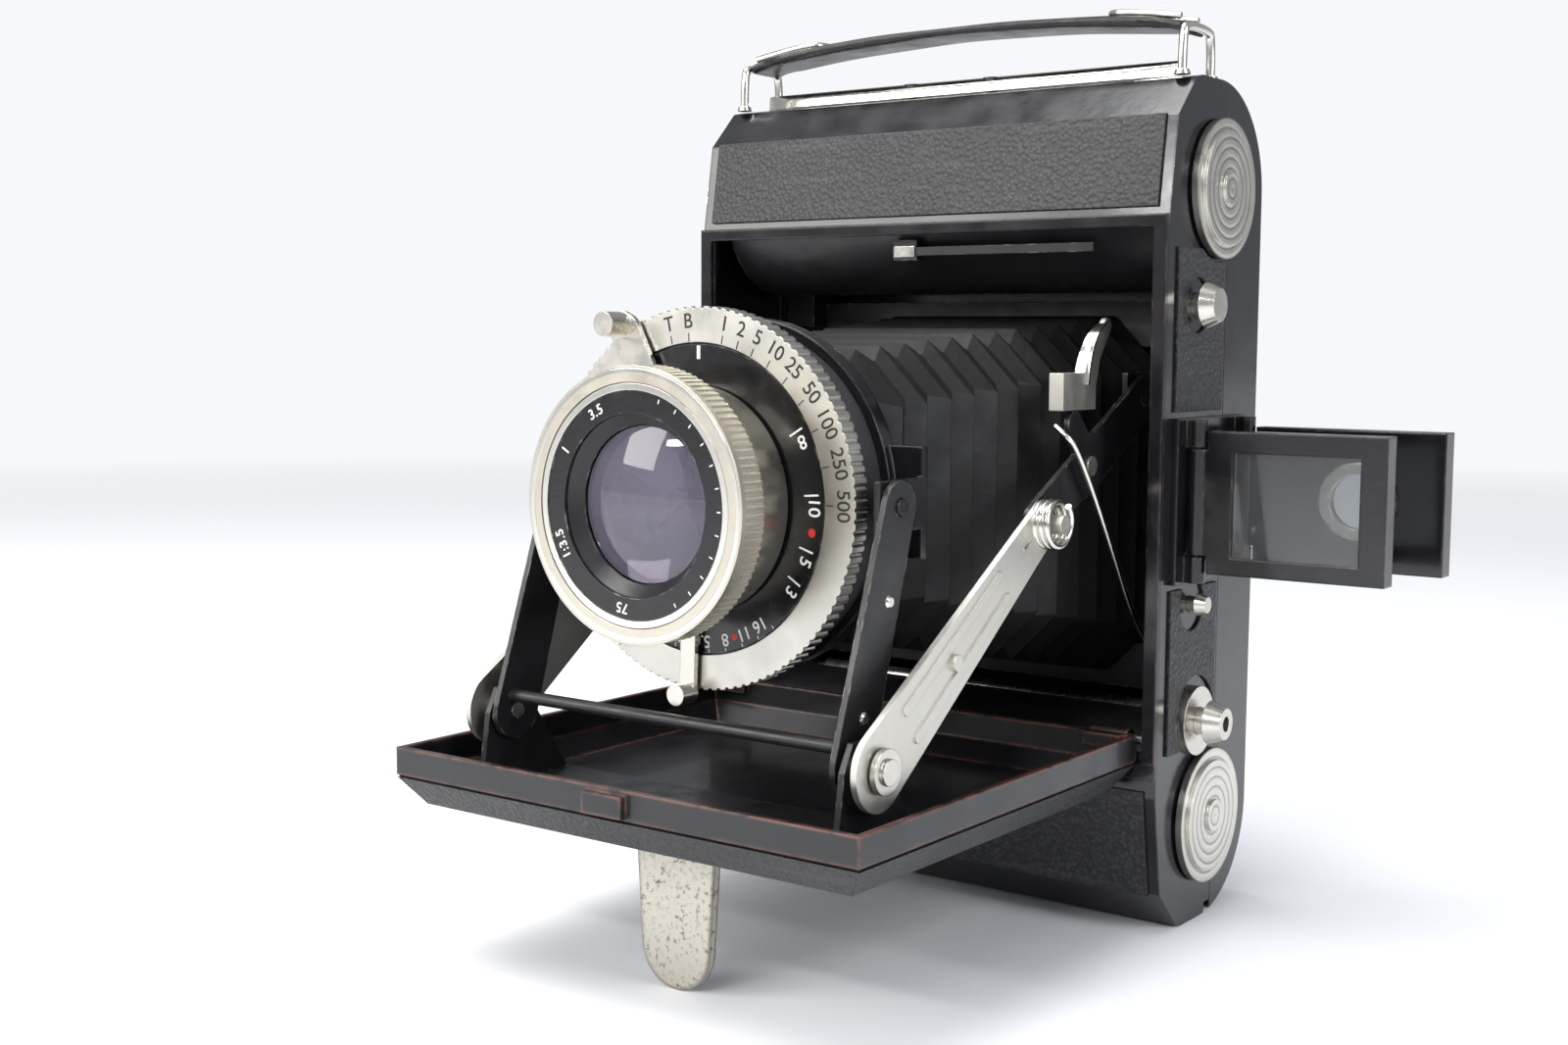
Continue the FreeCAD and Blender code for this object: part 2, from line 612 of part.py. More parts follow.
def upper_links():
    body = plate_x(LINK_X, LINK_ROOT, (-2.1, 61.6), 3.0, 3.4)
    body = body.fuse(plate_x(LINK_X, (-2.1, 61.6), KNEE, 3.4, 2.4))
    body = body.fuse(plate_x(LINK_X, (-2.1, 61.6), TAB_LOW, 2.4, 1.8))
    body = body.removeSplitter().cut(pin_hole(LINK_X, LINK_ROOT))
    save("upper_links", both_sides(body))


def press_tabs():
    tab = box((EAR_X[0] - 0.2, LINK_X[1]), (-9.9, -1.2), (68.9, 73.6))
    tab = tab.fuse(plate_x(LINK_X, (-3.0, 72.0), TAIL_BEND, 1.8, 1.5))
    tab = tab.fuse(plate_x(LINK_X, TAIL_BEND, TAIL_TIP, 1.5, 1.0)).removeSplitter()
    rivet = rod_x((LINK_X[1], LINK_X[1] + 0.25), -2.1, 61.6, 1.3)
    save("press_tabs", Part.makeCompound([both_sides(tab), both_sides(rivet)]))


SPRING_X = 30.0


def erecting_springs():
    top = V(SPRING_X, -9.3, 65.5)
    low = V(SPRING_X, 9.5, 37.8)
    wire = Part.makeCylinder(0.4, (low - top).Length, top, low - top)
    save("erecting_springs", both_sides(wire))


# ---- standard, shutter and lens ----
def standard_legs():
    pieces = []
    for sign in (-1, 1):
        x = sorted((sign * LEG_X[0], sign * LEG_X[1]))
        leg = plate_x(x, LEG_FOOT, LEG_TOP, 3.6, 3.0)
        pieces.append(leg.cut(pin_hole(x, LEG_FOOT)).cut(pin_hole(x, LEG_TOP)))
    pieces.append(rod_x((-LEG_X[0] - 0.2, LEG_X[0] + 0.2), LEG_FOOT[0] - 0.6, LEG_FOOT[1] + 2.0, 0.8))
    save("standard_legs", fused(pieces))


def lens_board():
    disc = tube_y((BOARD_D, BOARD_D + 1.0), BOARD_R, 8.9)
    rim = tube_y((BOARD_D - 1.2, BOARD_D + 1.0), BOARD_R, BOARD_R - 1.1)
    pieces = [disc, rim]
    for sign in (-1, 1):
        x = sorted((sign * 19.0, sign * (LEG_X[0] - 0.1)))
        pieces.append(box(x, (BOARD_D, BOARD_D + 1.0), (LEG_TOP[1] - 6.5, LEG_TOP[1] + 6.5)))
        flange = sorted((sign * (LEG_X[0] - 0.9), sign * (LEG_X[0] - 0.1)))
        pieces.append(box(flange, (LEG_TOP[0] - 3.0, BOARD_D + 1.0), (LEG_TOP[1] - 3.0, LEG_TOP[1] + 3.0)))
        shaft = sorted((sign * (LEG_X[0] - 0.5), sign * (LEG_X[1] + 0.3)))
        pieces.append(rod_x(shaft, LEG_TOP[0], LEG_TOP[1], PIN_R))
    board = fused(pieces)
    save("lens_board", board)


def shutter_case():
    case = tube_y((FACE_D, BOARD_D), SHUTTER_R, SHUTTER_R - 1.2)
    back = tube_y((BOARD_D - 1.0, BOARD_D), SHUTTER_R - 1.0, 9.6)
    save("shutter_case", fused([case, back]))


def shutter_face():
    face = tube_y((FACE_D - 0.8, FACE_D), SPEED_R - 4.4, 12.9)
    save("shutter_face", face.fuse(tube_y((FACE_D - 0.4, FACE_D), SHUTTER_R, 12.9)).removeSplitter())


def speed_ring():
    skirt = tube_y((SPEED_D, -44.8), SPEED_R, SHUTTER_R + 0.15)
    lip = tube_y((SPEED_D, SPEED_D + 0.5), SPEED_R, SPEED_R - 4.2)
    ring = skirt.fuse(lip)
    count = 110
    for i in range(count):
        angle = 2 * math.pi * i / count
        ring = ring.cut(rod_y((SPEED_D - 1, -44.0), (SPEED_R + 0.12) * math.cos(angle),
                              LENS_Z + (SPEED_R + 0.12) * math.sin(angle), 0.36))
    save("speed_ring", ring)


BARREL_R = 12.2
CELL_R = 14.0


def lens_barrel():
    barrel = tube_y((-56.4, BOARD_D - 1.0), BARREL_R, 9.6)
    seat = tube_y((BOARD_D - 1.5, BOARD_D - 1.0), BARREL_R, 8.2)
    thread = tube_y((BOARD_D - 1.5, BOARD_D + 2.0), 8.85, 8.2)
    save("lens_barrel", fused([barrel, seat, thread]))


def focus_ring():
    skirt = tube_y((-55.2, SPEED_D - 0.3), 13.6, BARREL_R + 0.1)
    rim = tube_y((FOCUS_D, -55.0), FOCUS_R, CELL_R + 0.1)
    web = tube_y((-56.4, -55.0), FOCUS_R - 1.0, BARREL_R + 0.1)
    ring = fused([skirt, rim, web])
    count = 110
    for i in range(count):
        angle = 2 * math.pi * i / count
        ring = ring.cut(rod_y((FOCUS_D + 0.7, -54.0), (FOCUS_R + 0.15) * math.cos(angle),
                              LENS_Z + (FOCUS_R + 0.15) * math.sin(angle), 0.32))
    save("focus_ring", ring)
    cell = tube_y((FOCUS_D + 0.3, -56.6), CELL_R, 9.2)
    cone = Part.makeCone(11.4, 8.9, 2.6, V(0, FOCUS_D, LENS_Z), V(0, 1, 0))
    save("front_lens_cell", cell.cut(cone))


def glass(name, depth, r, bulge):
    """A lens with one curved face: the common part of a sphere and a cylinder."""
    sphere_r = (r * r + bulge * bulge) / (2 * bulge)
    sphere = Part.makeSphere(sphere_r, V(0, depth[0] + sphere_r, LENS_Z))
    save(name, rod_y(depth, 0, LENS_Z, r).common(sphere))


def lens_glass():
    glass("front_lens", (FOCUS_D + 1.1, -55.4), 9.1, 1.6)
    save("rear_lens", rod_y((BOARD_D + 0.4, BOARD_D + 1.2), 0, LENS_Z, 8.1))
    save("retaining_nut", tube_y((BOARD_D + 1.05, BOARD_D + 2.1), 11.0, 8.9))


def arm(angle_deg, r_in, r_out, depth, half_width):
    bar = box((r_in, r_out), depth, (-half_width, half_width))
    tip = rod_y(depth, r_out, 0, half_width)
    solid = bar.fuse(tip).removeSplitter()
    solid.rotate(V(0, 0, 0), V(0, 1, 0), -angle_deg)
    solid.translate(V(0, 0, LENS_Z))
    return solid


COCK_ANGLE = 118.0
RELEASE_ANGLE = 268.0
APERTURE_ANGLE = 236.0
LEVER_D = (-48.3, -47.6)


def levers():
    cock = arm(COCK_ANGLE, 13.8, 22.4, LEVER_D, 2.2)
    knob = rod_y((-51.6, LEVER_D[0]), 23.4, 0, 1.5)
    knob = knob.fuse(rod_y(LEVER_D, 23.4, 0, 1.6)).removeSplitter()
    knob.rotate(V(0, 0, 0), V(0, 1, 0), -COCK_ANGLE)
    knob.translate(V(0, 0, LENS_Z))
    save("cocking_lever", fused([cock, knob]))
    release = arm(RELEASE_ANGLE, 13.8, 23.0, LEVER_D, 1.1)
    pad = rod_y((-50.4, LEVER_D[1]), 23.2, 0, 1.3)
    pad.rotate(V(0, 0, 0), V(0, 1, 0), -RELEASE_ANGLE)
    pad.translate(V(0, 0, LENS_Z))
    save("release_lever", fused([release, pad]))
    aperture = arm(APERTURE_ANGLE, 13.8, 21.4, LEVER_D, 0.8)
    save("aperture_lever", aperture)


def bellows():
    """The space between the gate frame and the lens board that the folded leather fills."""
    front = BOARD_D + 2.2
    rear = GATE_D - 0.2
    half_front = (15.5, 15.5)
    half_rear = (26.0, 22.0)
    mid = LENS_Z - 2.9

    def wire(half, depth, z):
        corners = [V(-half[0], depth, z - half[1]), V(half[0], depth, z - half[1]),
                   V(half[0], depth, z + half[1]), V(-half[0], depth, z + half[1])]
        return Part.makePolygon(corners + corners[:1])

    hull = Part.makeLoft([wire(half_front, front, LENS_Z), wire(half_rear, rear, mid)], True, True)
    inner_front = (half_front[0] - 2.0, half_front[1] - 2.0)
    inner_rear = (half_rear[0] - 2.0, half_rear[1] - 2.0)
    bore = Part.makeLoft([wire(inner_front, front - 0.1, LENS_Z), wire(inner_rear, rear + 0.1, mid)],
                         True, True)
    save("bellows", hull.cut(bore))


# ---- finder ----
def finder_base():
    plate = box((HALF_W, HALF_W + 0.8), (2.6, 23.6), (46.4, 67.8))
    pieces = [plate]
    for depth in (FINDER_FRONT_D, FINDER_REAR_D):
        for z in ((46.6, 50.0), (64.2, 67.6)):
            pieces.append(rod_z(z, FINDER_PIVOT_X, depth, 1.2))
            pieces.append(box((HALF_W + 0.8, FINDER_PIVOT_X), (depth - 1.0, depth + 1.0), z))
    pieces += [rod_z((46.6, 67.6), FINDER_PIVOT_X, d, 0.5) for d in (FINDER_FRONT_D, FINDER_REAR_D)]
    save("finder_base", fused(pieces))


FLANGE_D = 2.4


def finder_leaf(depth, x_top, window_x, window_z, knuckle_z):
    leaf = box((FINDER_PIVOT_X + 1.6, x_top), (depth - 0.5, depth + 0.5), FINDER_Z)
    neck = box((FINDER_PIVOT_X, FINDER_PIVOT_X + 2.0), (depth - 0.5, depth + 0.5), knuckle_z)
    knuckle = rod_z(knuckle_z, FINDER_PIVOT_X, depth, 1.1)
    flange = box((FINDER_PIVOT_X + 1.6, x_top), (depth - 0.5, depth + FLANGE_D), FINDER_Z)
    flange = flange.cut(box((FINDER_PIVOT_X + 2.2, x_top - 0.6), (depth - 1, depth + FLANGE_D + 1),
                            (FINDER_Z[0] + 0.6, FINDER_Z[1] - 0.6)))
    whole = fused([leaf, neck, knuckle, flange])
    whole = whole.cut(box(window_x, (depth - 2, depth + 2), window_z))
    return whole.cut(rod_z((40, 70), FINDER_PIVOT_X, depth, 0.5 + PIN_CLEAR))


def finder_frames():
    knuckle_z = (50.3, 63.9)
    window_x = (44.5, 61.0)
    window_z = (50.2, 63.6)
    front = finder_leaf(FINDER_FRONT_D, 64.3, window_x, window_z, knuckle_z)
    save("finder_front_frame", front)
    pane = box(window_x, (FINDER_FRONT_D - 0.3, FINDER_FRONT_D + 0.3), window_z)
    save("finder_front_lens", pane)
    eye = (55.5, 57.1)
    rear = finder_leaf(FINDER_REAR_D, 66.5, (80.0, 81.0), window_z, knuckle_z)
    rear = rear.cut(rod_y((FINDER_REAR_D - 2, FINDER_REAR_D + 2), eye[0], eye[1], 3.6))
    save("finder_rear_frame", rear)
    ring = tube_y((FINDER_REAR_D - 1.5, FINDER_REAR_D - 0.5), 5.0, 3.6, eye[0], eye[1])
    save("finder_eyepiece_ring", ring)
    save("finder_eyepiece_lens", rod_y((FINDER_REAR_D - 0.4, FINDER_REAR_D + 0.4), eye[0], eye[1], 3.6))


# ---- buttons ----
def side_button(index, head_r, neck, proud):
    """A push button on the right side: a stem through the wall and a cone-shaped head."""
    depth, z, r = BODY_BUTTONS[index]
    stem = rod_x((HALF_W - WALL - 0.3, HALF_W + neck), depth, z, r)
    head = Part.makeCone(head_r, head_r * 0.72, proud - neck, V(HALF_W + neck, depth, z), V(1, 0, 0))
    return fused([stem, head])


CABLE_R = 1.0
CATCH_X = (-5.0, -1.2)
CATCH_D = (1.9, 2.8)
CATCH_Z = (OPENING_TOP_Z - 3.4, OPENING_TOP_Z - 0.6)


def buttons():
    save("bed_release_button", side_button(0, 3.0, 1.6, 3.4))
    save("finder_catch_button", side_button(1, 1.5, 1.2, 2.6))
    release = side_button(2, 2.9, 2.6, 4.8)
    depth, z, r = BODY_BUTTONS[2]
    release = release.cut(rod_x((HALF_W + 0.2, HALF_W + 9), depth, z, CABLE_R))
    save("body_release_button", release)
    collar = rod_x((HALF_W, HALF_W + 1.0), depth, z, 4.6)
    collar = collar.cut(rod_x((HALF_W - 1, HALF_W + 9), depth, z, r + PIN_CLEAR))
    save("release_collar", collar)
    hook = box(CATCH_X, (CATCH_D[0], 3.9), (CATCH_Z[0], CATCH_Z[0] + 1.0))
    plate = box(CATCH_X, CATCH_D, CATCH_Z)
    spring = box((CATCH_X[0], 26.0), (CATCH_D[0], 2.4), (CATCH_Z[0] + 0.6, CATCH_Z[0] + 1.8))
    save("bed_catch", fused([hook, plate, spring]))


def tripod_bush():
    bush = rod_x((-HALF_W - 0.9, -HALF_W + 4.5), TRIPOD_POINT[0], TRIPOD_POINT[1], TRIPOD_R + 1.4)
    bush = bush.fuse(rod_x((-HALF_W - 0.9, -HALF_W - 0.4), TRIPOD_POINT[0], TRIPOD_POINT[1], TRIPOD_R + 2.4))
    hole = rod_x((-HALF_W - 2, -HALF_W + 6), TRIPOD_POINT[0], TRIPOD_POINT[1], TRIPOD_R)
    save("tripod_bush", bush.cut(hole).removeSplitter())


def main():
    os.makedirs("parts", exist_ok=True)
    body_shell()
    front_frame()
    leathers()
    film_gate_frame()
    film_rollers()
    take_up_spool()
    spool_pin("spool_pin_right_top", SPOOL_TOP_Z, 1)
    spool_pin("spool_pin_right_low", SPOOL_LOW_Z, 1)
    spool_pin("spool_pin_left_low", SPOOL_LOW_Z, -1)
    winding_knob()
    back_cover()
    red_windows()
    pressure_plate()
    hinge_pins()
    back_latch()
    strap()
    strap_fittings()
    bed()
    bed_leather()
    bed_bracket()
    foot()
    lower_struts()
    strut_rivets()
    upper_links()
    press_tabs()
    erecting_springs()
    standard_legs()
    lens_board()
    shutter_case()
    shutter_face()
    speed_ring()
    lens_barrel()
    focus_ring()
    lens_glass()
    levers()
    bellows()
    finder_base()
    finder_frames()
    buttons()
    tripod_bush()


main()
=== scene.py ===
import math

import bmesh
import bpy
from mathutils import Matrix, Vector


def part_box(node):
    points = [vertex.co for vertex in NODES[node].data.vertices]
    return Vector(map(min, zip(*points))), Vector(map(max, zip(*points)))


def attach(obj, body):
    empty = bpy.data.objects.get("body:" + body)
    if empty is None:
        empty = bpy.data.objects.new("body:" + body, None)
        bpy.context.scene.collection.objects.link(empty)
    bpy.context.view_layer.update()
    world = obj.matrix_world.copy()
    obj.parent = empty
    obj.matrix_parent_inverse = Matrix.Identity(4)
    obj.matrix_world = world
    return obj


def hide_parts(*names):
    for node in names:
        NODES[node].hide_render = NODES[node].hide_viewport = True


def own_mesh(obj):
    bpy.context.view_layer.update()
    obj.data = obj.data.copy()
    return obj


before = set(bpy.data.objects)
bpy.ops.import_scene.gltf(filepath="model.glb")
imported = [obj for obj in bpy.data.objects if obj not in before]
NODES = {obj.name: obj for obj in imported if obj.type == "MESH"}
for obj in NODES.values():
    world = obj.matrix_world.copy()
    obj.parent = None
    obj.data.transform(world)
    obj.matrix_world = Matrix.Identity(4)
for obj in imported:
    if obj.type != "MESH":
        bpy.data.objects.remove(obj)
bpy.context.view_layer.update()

MM = 0.001


# ---------------------------------------------------------------- frame measures
def centre(node):
    low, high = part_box(node)
    return (low + high) / 2


LENS = centre("speed_ring")
SPEED_LOW, SPEED_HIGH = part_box("speed_ring")
SPEED_R = (SPEED_HIGH.x - SPEED_LOW.x) / 2
SPEED_FACE = SPEED_LOW.y
FACE_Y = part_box("shutter_face")[0].y
FOCUS_LOW, FOCUS_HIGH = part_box("focus_ring")
FOCUS_R = (FOCUS_HIGH.x - FOCUS_LOW.x) / 2
CELL_LOW, CELL_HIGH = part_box("front_lens_cell")
CELL_R = (CELL_HIGH.x - CELL_LOW.x) / 2


# ---------------------------------------------------------------- material helpers
class Shade:
    """A node material with short helpers for the textures that it uses."""

    def __init__(self, name):
        self.mat = bpy.data.materials.new(name)
        self.mat.use_nodes = True
        self.tree = self.mat.node_tree
        self.bsdf = self.tree.nodes["Principled BSDF"]
        self.coords = self.tree.nodes.new("ShaderNodeTexCoord").outputs["Object"]

    def node(self, kind, **values):
        made = self.tree.nodes.new(kind)
        for key, value in values.items():
            setattr(made, key, value)
        return made

    def link(self, source, target):
        self.tree.links.new(source, target)

    def placed(self, scale=(1, 1, 1), location=(0, 0, 0)):
        mapping = self.node("ShaderNodeMapping")
        mapping.inputs["Scale"].default_value = scale
        mapping.inputs["Location"].default_value = location
        self.link(self.coords, mapping.inputs["Vector"])
        return mapping.outputs["Vector"]

    def noise(self, scale, detail=3.0, rough=0.55, vector=None):
        made = self.node("ShaderNodeTexNoise")
        made.inputs["Scale"].default_value = scale
        made.inputs["Detail"].default_value = detail
        made.inputs["Roughness"].default_value = rough
        self.link(vector or self.coords, made.inputs["Vector"])
        return made.outputs["Fac"]

    def cells(self, scale):
        made = self.node("ShaderNodeTexVoronoi", feature="F1")
        made.inputs["Scale"].default_value = scale
        self.link(self.coords, made.inputs["Vector"])
        return made.outputs["Distance"]

    def span(self, value, low_in, high_in, low_out, high_out):
        made = self.node("ShaderNodeMapRange")
        for key, number in zip(("From Min", "From Max", "To Min", "To Max"),
                               (low_in, high_in, low_out, high_out)):
            made.inputs[key].default_value = number
        self.link(value, made.inputs["Value"])
        return made.outputs["Result"]

    def mixed(self, factor, first, second):
        made = self.node("ShaderNodeMix", data_type="RGBA")
        for index, colour in ((6, first), (7, second)):
            if isinstance(colour, tuple):
                made.inputs[index].default_value = (*colour, 1.0)
            else:
                self.link(colour, made.inputs[index])
        self.link(factor, made.inputs[0])
        return made.outputs[2]

    def math(self, operation, first, second):
        made = self.node("ShaderNodeMath", operation=operation)
        for index, value in enumerate((first, second)):
            if isinstance(value, (int, float)):
                made.inputs[index].default_value = value
            else:
                self.link(value, made.inputs[index])
        return made.outputs[0]

    def edge(self, radius):
        """1 on sharp edges and 0 elsewhere, from how far a rounded normal leaves the true one."""
        bevel = self.node("ShaderNodeBevel", samples=4)
        bevel.inputs["Radius"].default_value = radius
        normal = self.node("ShaderNodeNewGeometry").outputs["Normal"]
        dot = self.node("ShaderNodeVectorMath", operation="DOT_PRODUCT")
        self.link(bevel.outputs["Normal"], dot.inputs[0])
        self.link(normal, dot.inputs[1])
        return self.span(dot.outputs["Value"], 1.0, 0.86, 0.0, 1.0)

    def bump(self, heights, radius=0.0):
        """Chains bumps of (height, depth in metres) over an edge rounding of that radius."""
        normal = None
        if radius:
            bevel = self.node("ShaderNodeBevel", samples=4)
            bevel.inputs["Radius"].default_value = radius
            normal = bevel.outputs["Normal"]
        for height, depth in heights:
            made = self.node("ShaderNodeBump")
            made.inputs["Strength"].default_value = 1.0
            made.inputs["Distance"].default_value = depth
            self.link(height, made.inputs["Height"])
            if normal:
                self.link(normal, made.inputs["Normal"])
            normal = made.outputs["Normal"]
        if normal:
            self.link(normal, self.bsdf.inputs["Normal"])

    def set(self, **values):
        for key, value in values.items():
            self.bsdf.inputs[key.replace("_", " ")].default_value = value

    def colour(self, value):
        if isinstance(value, tuple):
            self.bsdf.inputs["Base Color"].default_value = (*value, 1.0)
        else:
            self.link(value, self.bsdf.inputs["Base Color"])

    def rough(self, value):
        if isinstance(value, (int, float)):
            self.bsdf.inputs["Roughness"].default_value = value
        else:
            self.link(value, self.bsdf.inputs["Roughness"])


# ---------------------------------------------------------------- materials
WAVE_RATE = 20.0


def enamel(name, worn=(0.13, 0.075, 0.045), reach=0.35 * MM, share=0.5, gloss=0.12):
    """Glossy black enamel, a little wavy. Its edges are rubbed brown over reach, in a share of places."""
    s = Shade(name)
    wear = s.math("MULTIPLY", s.edge(reach), s.span(s.noise(420), share, share + 0.18, 0.0, 1.0))
    dust = s.span(s.noise(90, 5), 0.35, 0.75, 0.0, 1.0)
    base = s.mixed(dust, (0.003, 0.003, 0.004), (0.008, 0.008, 0.011))
    s.colour(s.mixed(wear, base, worn))
    s.rough(s.span(s.noise(160, 6), 0.3, 0.7, gloss, gloss + 0.14))
    s.set(Coat_Weight=0.2, Coat_Roughness=0.08)
    s.bump([(s.noise(700, 2), 0.012 * MM)], 0.45 * MM)
    return s.mat


def lacquer(name, tone=0.010, roughness=0.38):
    """Satin black lacquer on small metal pieces."""
    s = Shade(name)
    worn = s.math("MULTIPLY", s.edge(0.3 * MM), s.span(s.noise(600), 0.52, 0.66, 0.0, 1.0))
    s.colour(s.mixed(worn, (tone, tone, tone * 1.15), (0.30, 0.27, 0.22)))
    s.rough(s.span(s.noise(300, 5), 0.3, 0.7, roughness - 0.1, roughness + 0.1))
    s.bump([(s.noise(1500, 2), 0.01 * MM)], 0.2 * MM)
    return s.mat


def leatherette():
    """Thin embossed covering: small uneven pebbles, rubbed lighter on top, with fine scratches."""
    s = Shade("leatherette_grain")
    pebble = s.cells(1500)
    coarse = s.noise(2600, 4)
    tops = s.span(pebble, 0.15, 0.65, 1.0, 0.0)
    rubbed = s.math("MULTIPLY", tops, s.span(s.noise(60, 5), 0.35, 0.7, 0.15, 1.0))
    scratch = s.span(s.noise(900, 2, 0.4, s.placed((0.05, 0.05, 1.0))), 0.62, 0.7, 0.0, 0.16)
    base = s.mixed(rubbed, (0.009, 0.009, 0.010), (0.038, 0.039, 0.043))
    s.colour(s.mixed(scratch, base, (0.085, 0.085, 0.09)))
    s.rough(s.span(coarse, 0.3, 0.7, 0.38, 0.62))
    s.set(Specular_IOR_Level=0.55)
    s.bump([(s.span(pebble, 0.0, 0.7, 1.0, 0.0), 0.11 * MM), (coarse, 0.03 * MM)], 0.2 * MM)
    return s.mat


def nickel(name, tint=(0.64, 0.61, 0.55), roughness=0.26, rings=None, spots=0.05):
    """Warm nickel plate. rings is (centre, axis letter, pitch) of circles pressed into a round face, with
    painted shade in their troughs.
    """
    s = Shade(name)
    stain = s.span(s.noise(260, 6, 0.65), 0.55, 0.78, 0.0, spots)
    plate = s.mixed(stain, tint, (0.20, 0.16, 0.12))
    s.rough(s.span(s.noise(300, 4), 0.3, 0.7, roughness - 0.05, roughness + 0.08))
    s.set(Metallic=1.0)
    heights = [(s.noise(900, 2), 0.004 * MM)]
    if rings:
        point, direction, pitch = rings
        wave = s.node("ShaderNodeTexWave", wave_type="RINGS", rings_direction=direction)
        wave.inputs["Scale"].default_value = 2 * math.pi / (WAVE_RATE * pitch)
        wave.inputs["Distortion"].default_value = 0.0
        s.link(s.placed((1, 1, 1), tuple(-c for c in point)), wave.inputs["Vector"])
        heights.append((wave.outputs["Fac"], 0.05 * MM))
        # Painted shade: the troughs of the pressed rings are coloured darker, as if shade fell in them.
        groove = s.span(wave.outputs["Fac"], 0.0, 0.3, 0.75, 0.0)
        plate = s.mixed(groove, plate, tuple(c * 0.35 for c in tint))
    s.colour(plate)
    s.bump(heights, 0.15 * MM)
    return s.mat


def worn_plate():
    """Nickel plate of the foot, dulled, spotted and browned."""
    s = Shade("worn_nickel_plate")
    spots = s.span(s.noise(1300, 6, 0.75), 0.54, 0.62, 0.0, 1.0)
    broad = s.span(s.noise(220, 4), 0.40, 0.62, 0.05, 0.9)
    edge = s.edge(0.9 * MM)
    worn = s.math("MAXIMUM", s.math("MULTIPLY", spots, broad), s.math("MULTIPLY", edge, 0.8))
    s.colour(s.mixed(worn, (0.52, 0.49, 0.42), (0.10, 0.07, 0.045)))
    s.rough(s.span(worn, 0.0, 1.0, 0.42, 0.7))
    s.set(Metallic=0.75)
    s.bump([(spots, 0.02 * MM)], 0.3 * MM)
    return s.mat


def crinkle():
    """Fine-grained matt paint on the outside of the shutter case."""
    s = Shade("crinkle_black_paint")
    grain = s.noise(3200, 4, 0.6)
    s.colour(s.mixed(grain, (0.010, 0.010, 0.011), (0.035, 0.035, 0.038)))
    s.rough(0.5)
    s.bump([(grain, 0.06 * MM)], 0.2 * MM)
    return s.mat


def soft_leather(name, tone, roughness, grain, depth):
    """Black leather: tone is its grey, grain the texture scale and depth the height of its creases."""
    s = Shade(name)
    fine = s.noise(grain, 5, 0.6)
    crease = s.cells(grain * 0.35)
    s.colour(s.mixed(fine, (tone * 0.7,) * 3, (tone * 1.5,) * 3))
    s.rough(s.span(s.noise(200, 4), 0.3, 0.7, roughness - 0.08, roughness + 0.1))
    s.set(Specular_IOR_Level=0.35)
    s.bump([(crease, depth), (fine, depth * 0.5)])
    return s.mat


def lens_glass():
    """Front element: clear glass with a faint violet cast."""
    s = Shade("coated_lens_glass")
    s.colour((0.70, 0.64, 0.80))
    s.rough(s.span(s.noise(500, 4), 0.3, 0.8, 0.01, 0.05))
    s.set(Transmission_Weight=0.92, IOR=1.52)
    return s.mat


def window_glass(name, tint):
    """Flat pane, faintly smeared."""
    s = Shade(name)
    s.colour(tint)
    s.rough(s.span(s.noise(400, 4), 0.3, 0.8, 0.02, 0.08))
    s.set(Transmission_Weight=0.95, IOR=1.5)
    return s.mat


def paint(name, colour, roughness=0.5):
    """Ink of the engraved marks."""
    s = Shade(name)
    s.colour(s.mixed(s.noise(1500, 4), tuple(c * 0.85 for c in colour), colour))
    s.rough(s.span(s.noise(800, 3), 0.3, 0.7, roughness - 0.08, roughness + 0.08))
    return s.mat


def steel():
    """Bare spring steel of the pins."""
    tone = 0.42
    s = Shade("spring_steel")
    s.colour(s.mixed(s.noise(700, 5), (tone * 0.6,) * 3, (tone,) * 3))
    s.rough(s.span(s.noise(1400, 4), 0.3, 0.7, 0.25, 0.45))
    s.set(Metallic=1.0)
    s.bump([(s.noise(2500, 3), 0.008 * MM)], 0.1 * MM)
    return s.mat


MATS = {
    "enamel": enamel("black_enamel_gloss"),
    "bed": enamel("bed_enamel_worn", (0.17, 0.065, 0.04), 0.7 * MM, 0.36, 0.30),
    "lacquer": lacquer("black_lacquer_satin"),
    "face": lacquer("shutter_face_black", 0.007, 0.2),
    "leatherette": leatherette(),
    "nickel": nickel("nickel_plate"),
    "bright": nickel("nickel_polished", (0.70, 0.68, 0.62), 0.16, None, 0.08),
    "knurl": nickel("nickel_knurled", (0.60, 0.56, 0.47), 0.30, None, 0.12),
    "ring": nickel("nickel_dial", (0.58, 0.56, 0.51), 0.32, None, 0.04),
    "satin": nickel("nickel_satin", (0.66, 0.64, 0.58), 0.42, None, 0.06),
    "disc_top": nickel("nickel_disc_top", (0.68, 0.66, 0.60), 0.30,
                       (centre("spool_pin_right_top"), "X", 1.3 * MM), 0.1),
    "disc_low": nickel("nickel_disc_low", (0.68, 0.66, 0.60), 0.30,
                       (centre("spool_pin_right_low"), "X", 1.3 * MM), 0.1),
    "foot": worn_plate(),
    "crinkle": crinkle(),
    "bellows": soft_leather("bellows_leather_matte", 0.004, 0.58, 2200, 0.04 * MM),
    "strap": soft_leather("strap_leather_gloss", 0.010, 0.30, 1300, 0.06 * MM),
    "steel": steel(),
    "lens": lens_glass(),
    "clear": window_glass("finder_glass", (0.55, 0.57, 0.58)),
    "red": window_glass("red_film_window", (0.45, 0.01, 0.01)),
    "ink": paint("black_ink", (0.012, 0.012, 0.012)),
    "white": paint("ivory_ink", (0.80, 0.79, 0.74)),
    "red_ink": paint("red_ink", (0.62, 0.02, 0.015)),
    "blades": lacquer("shutter_blades", 0.03, 0.3),
}

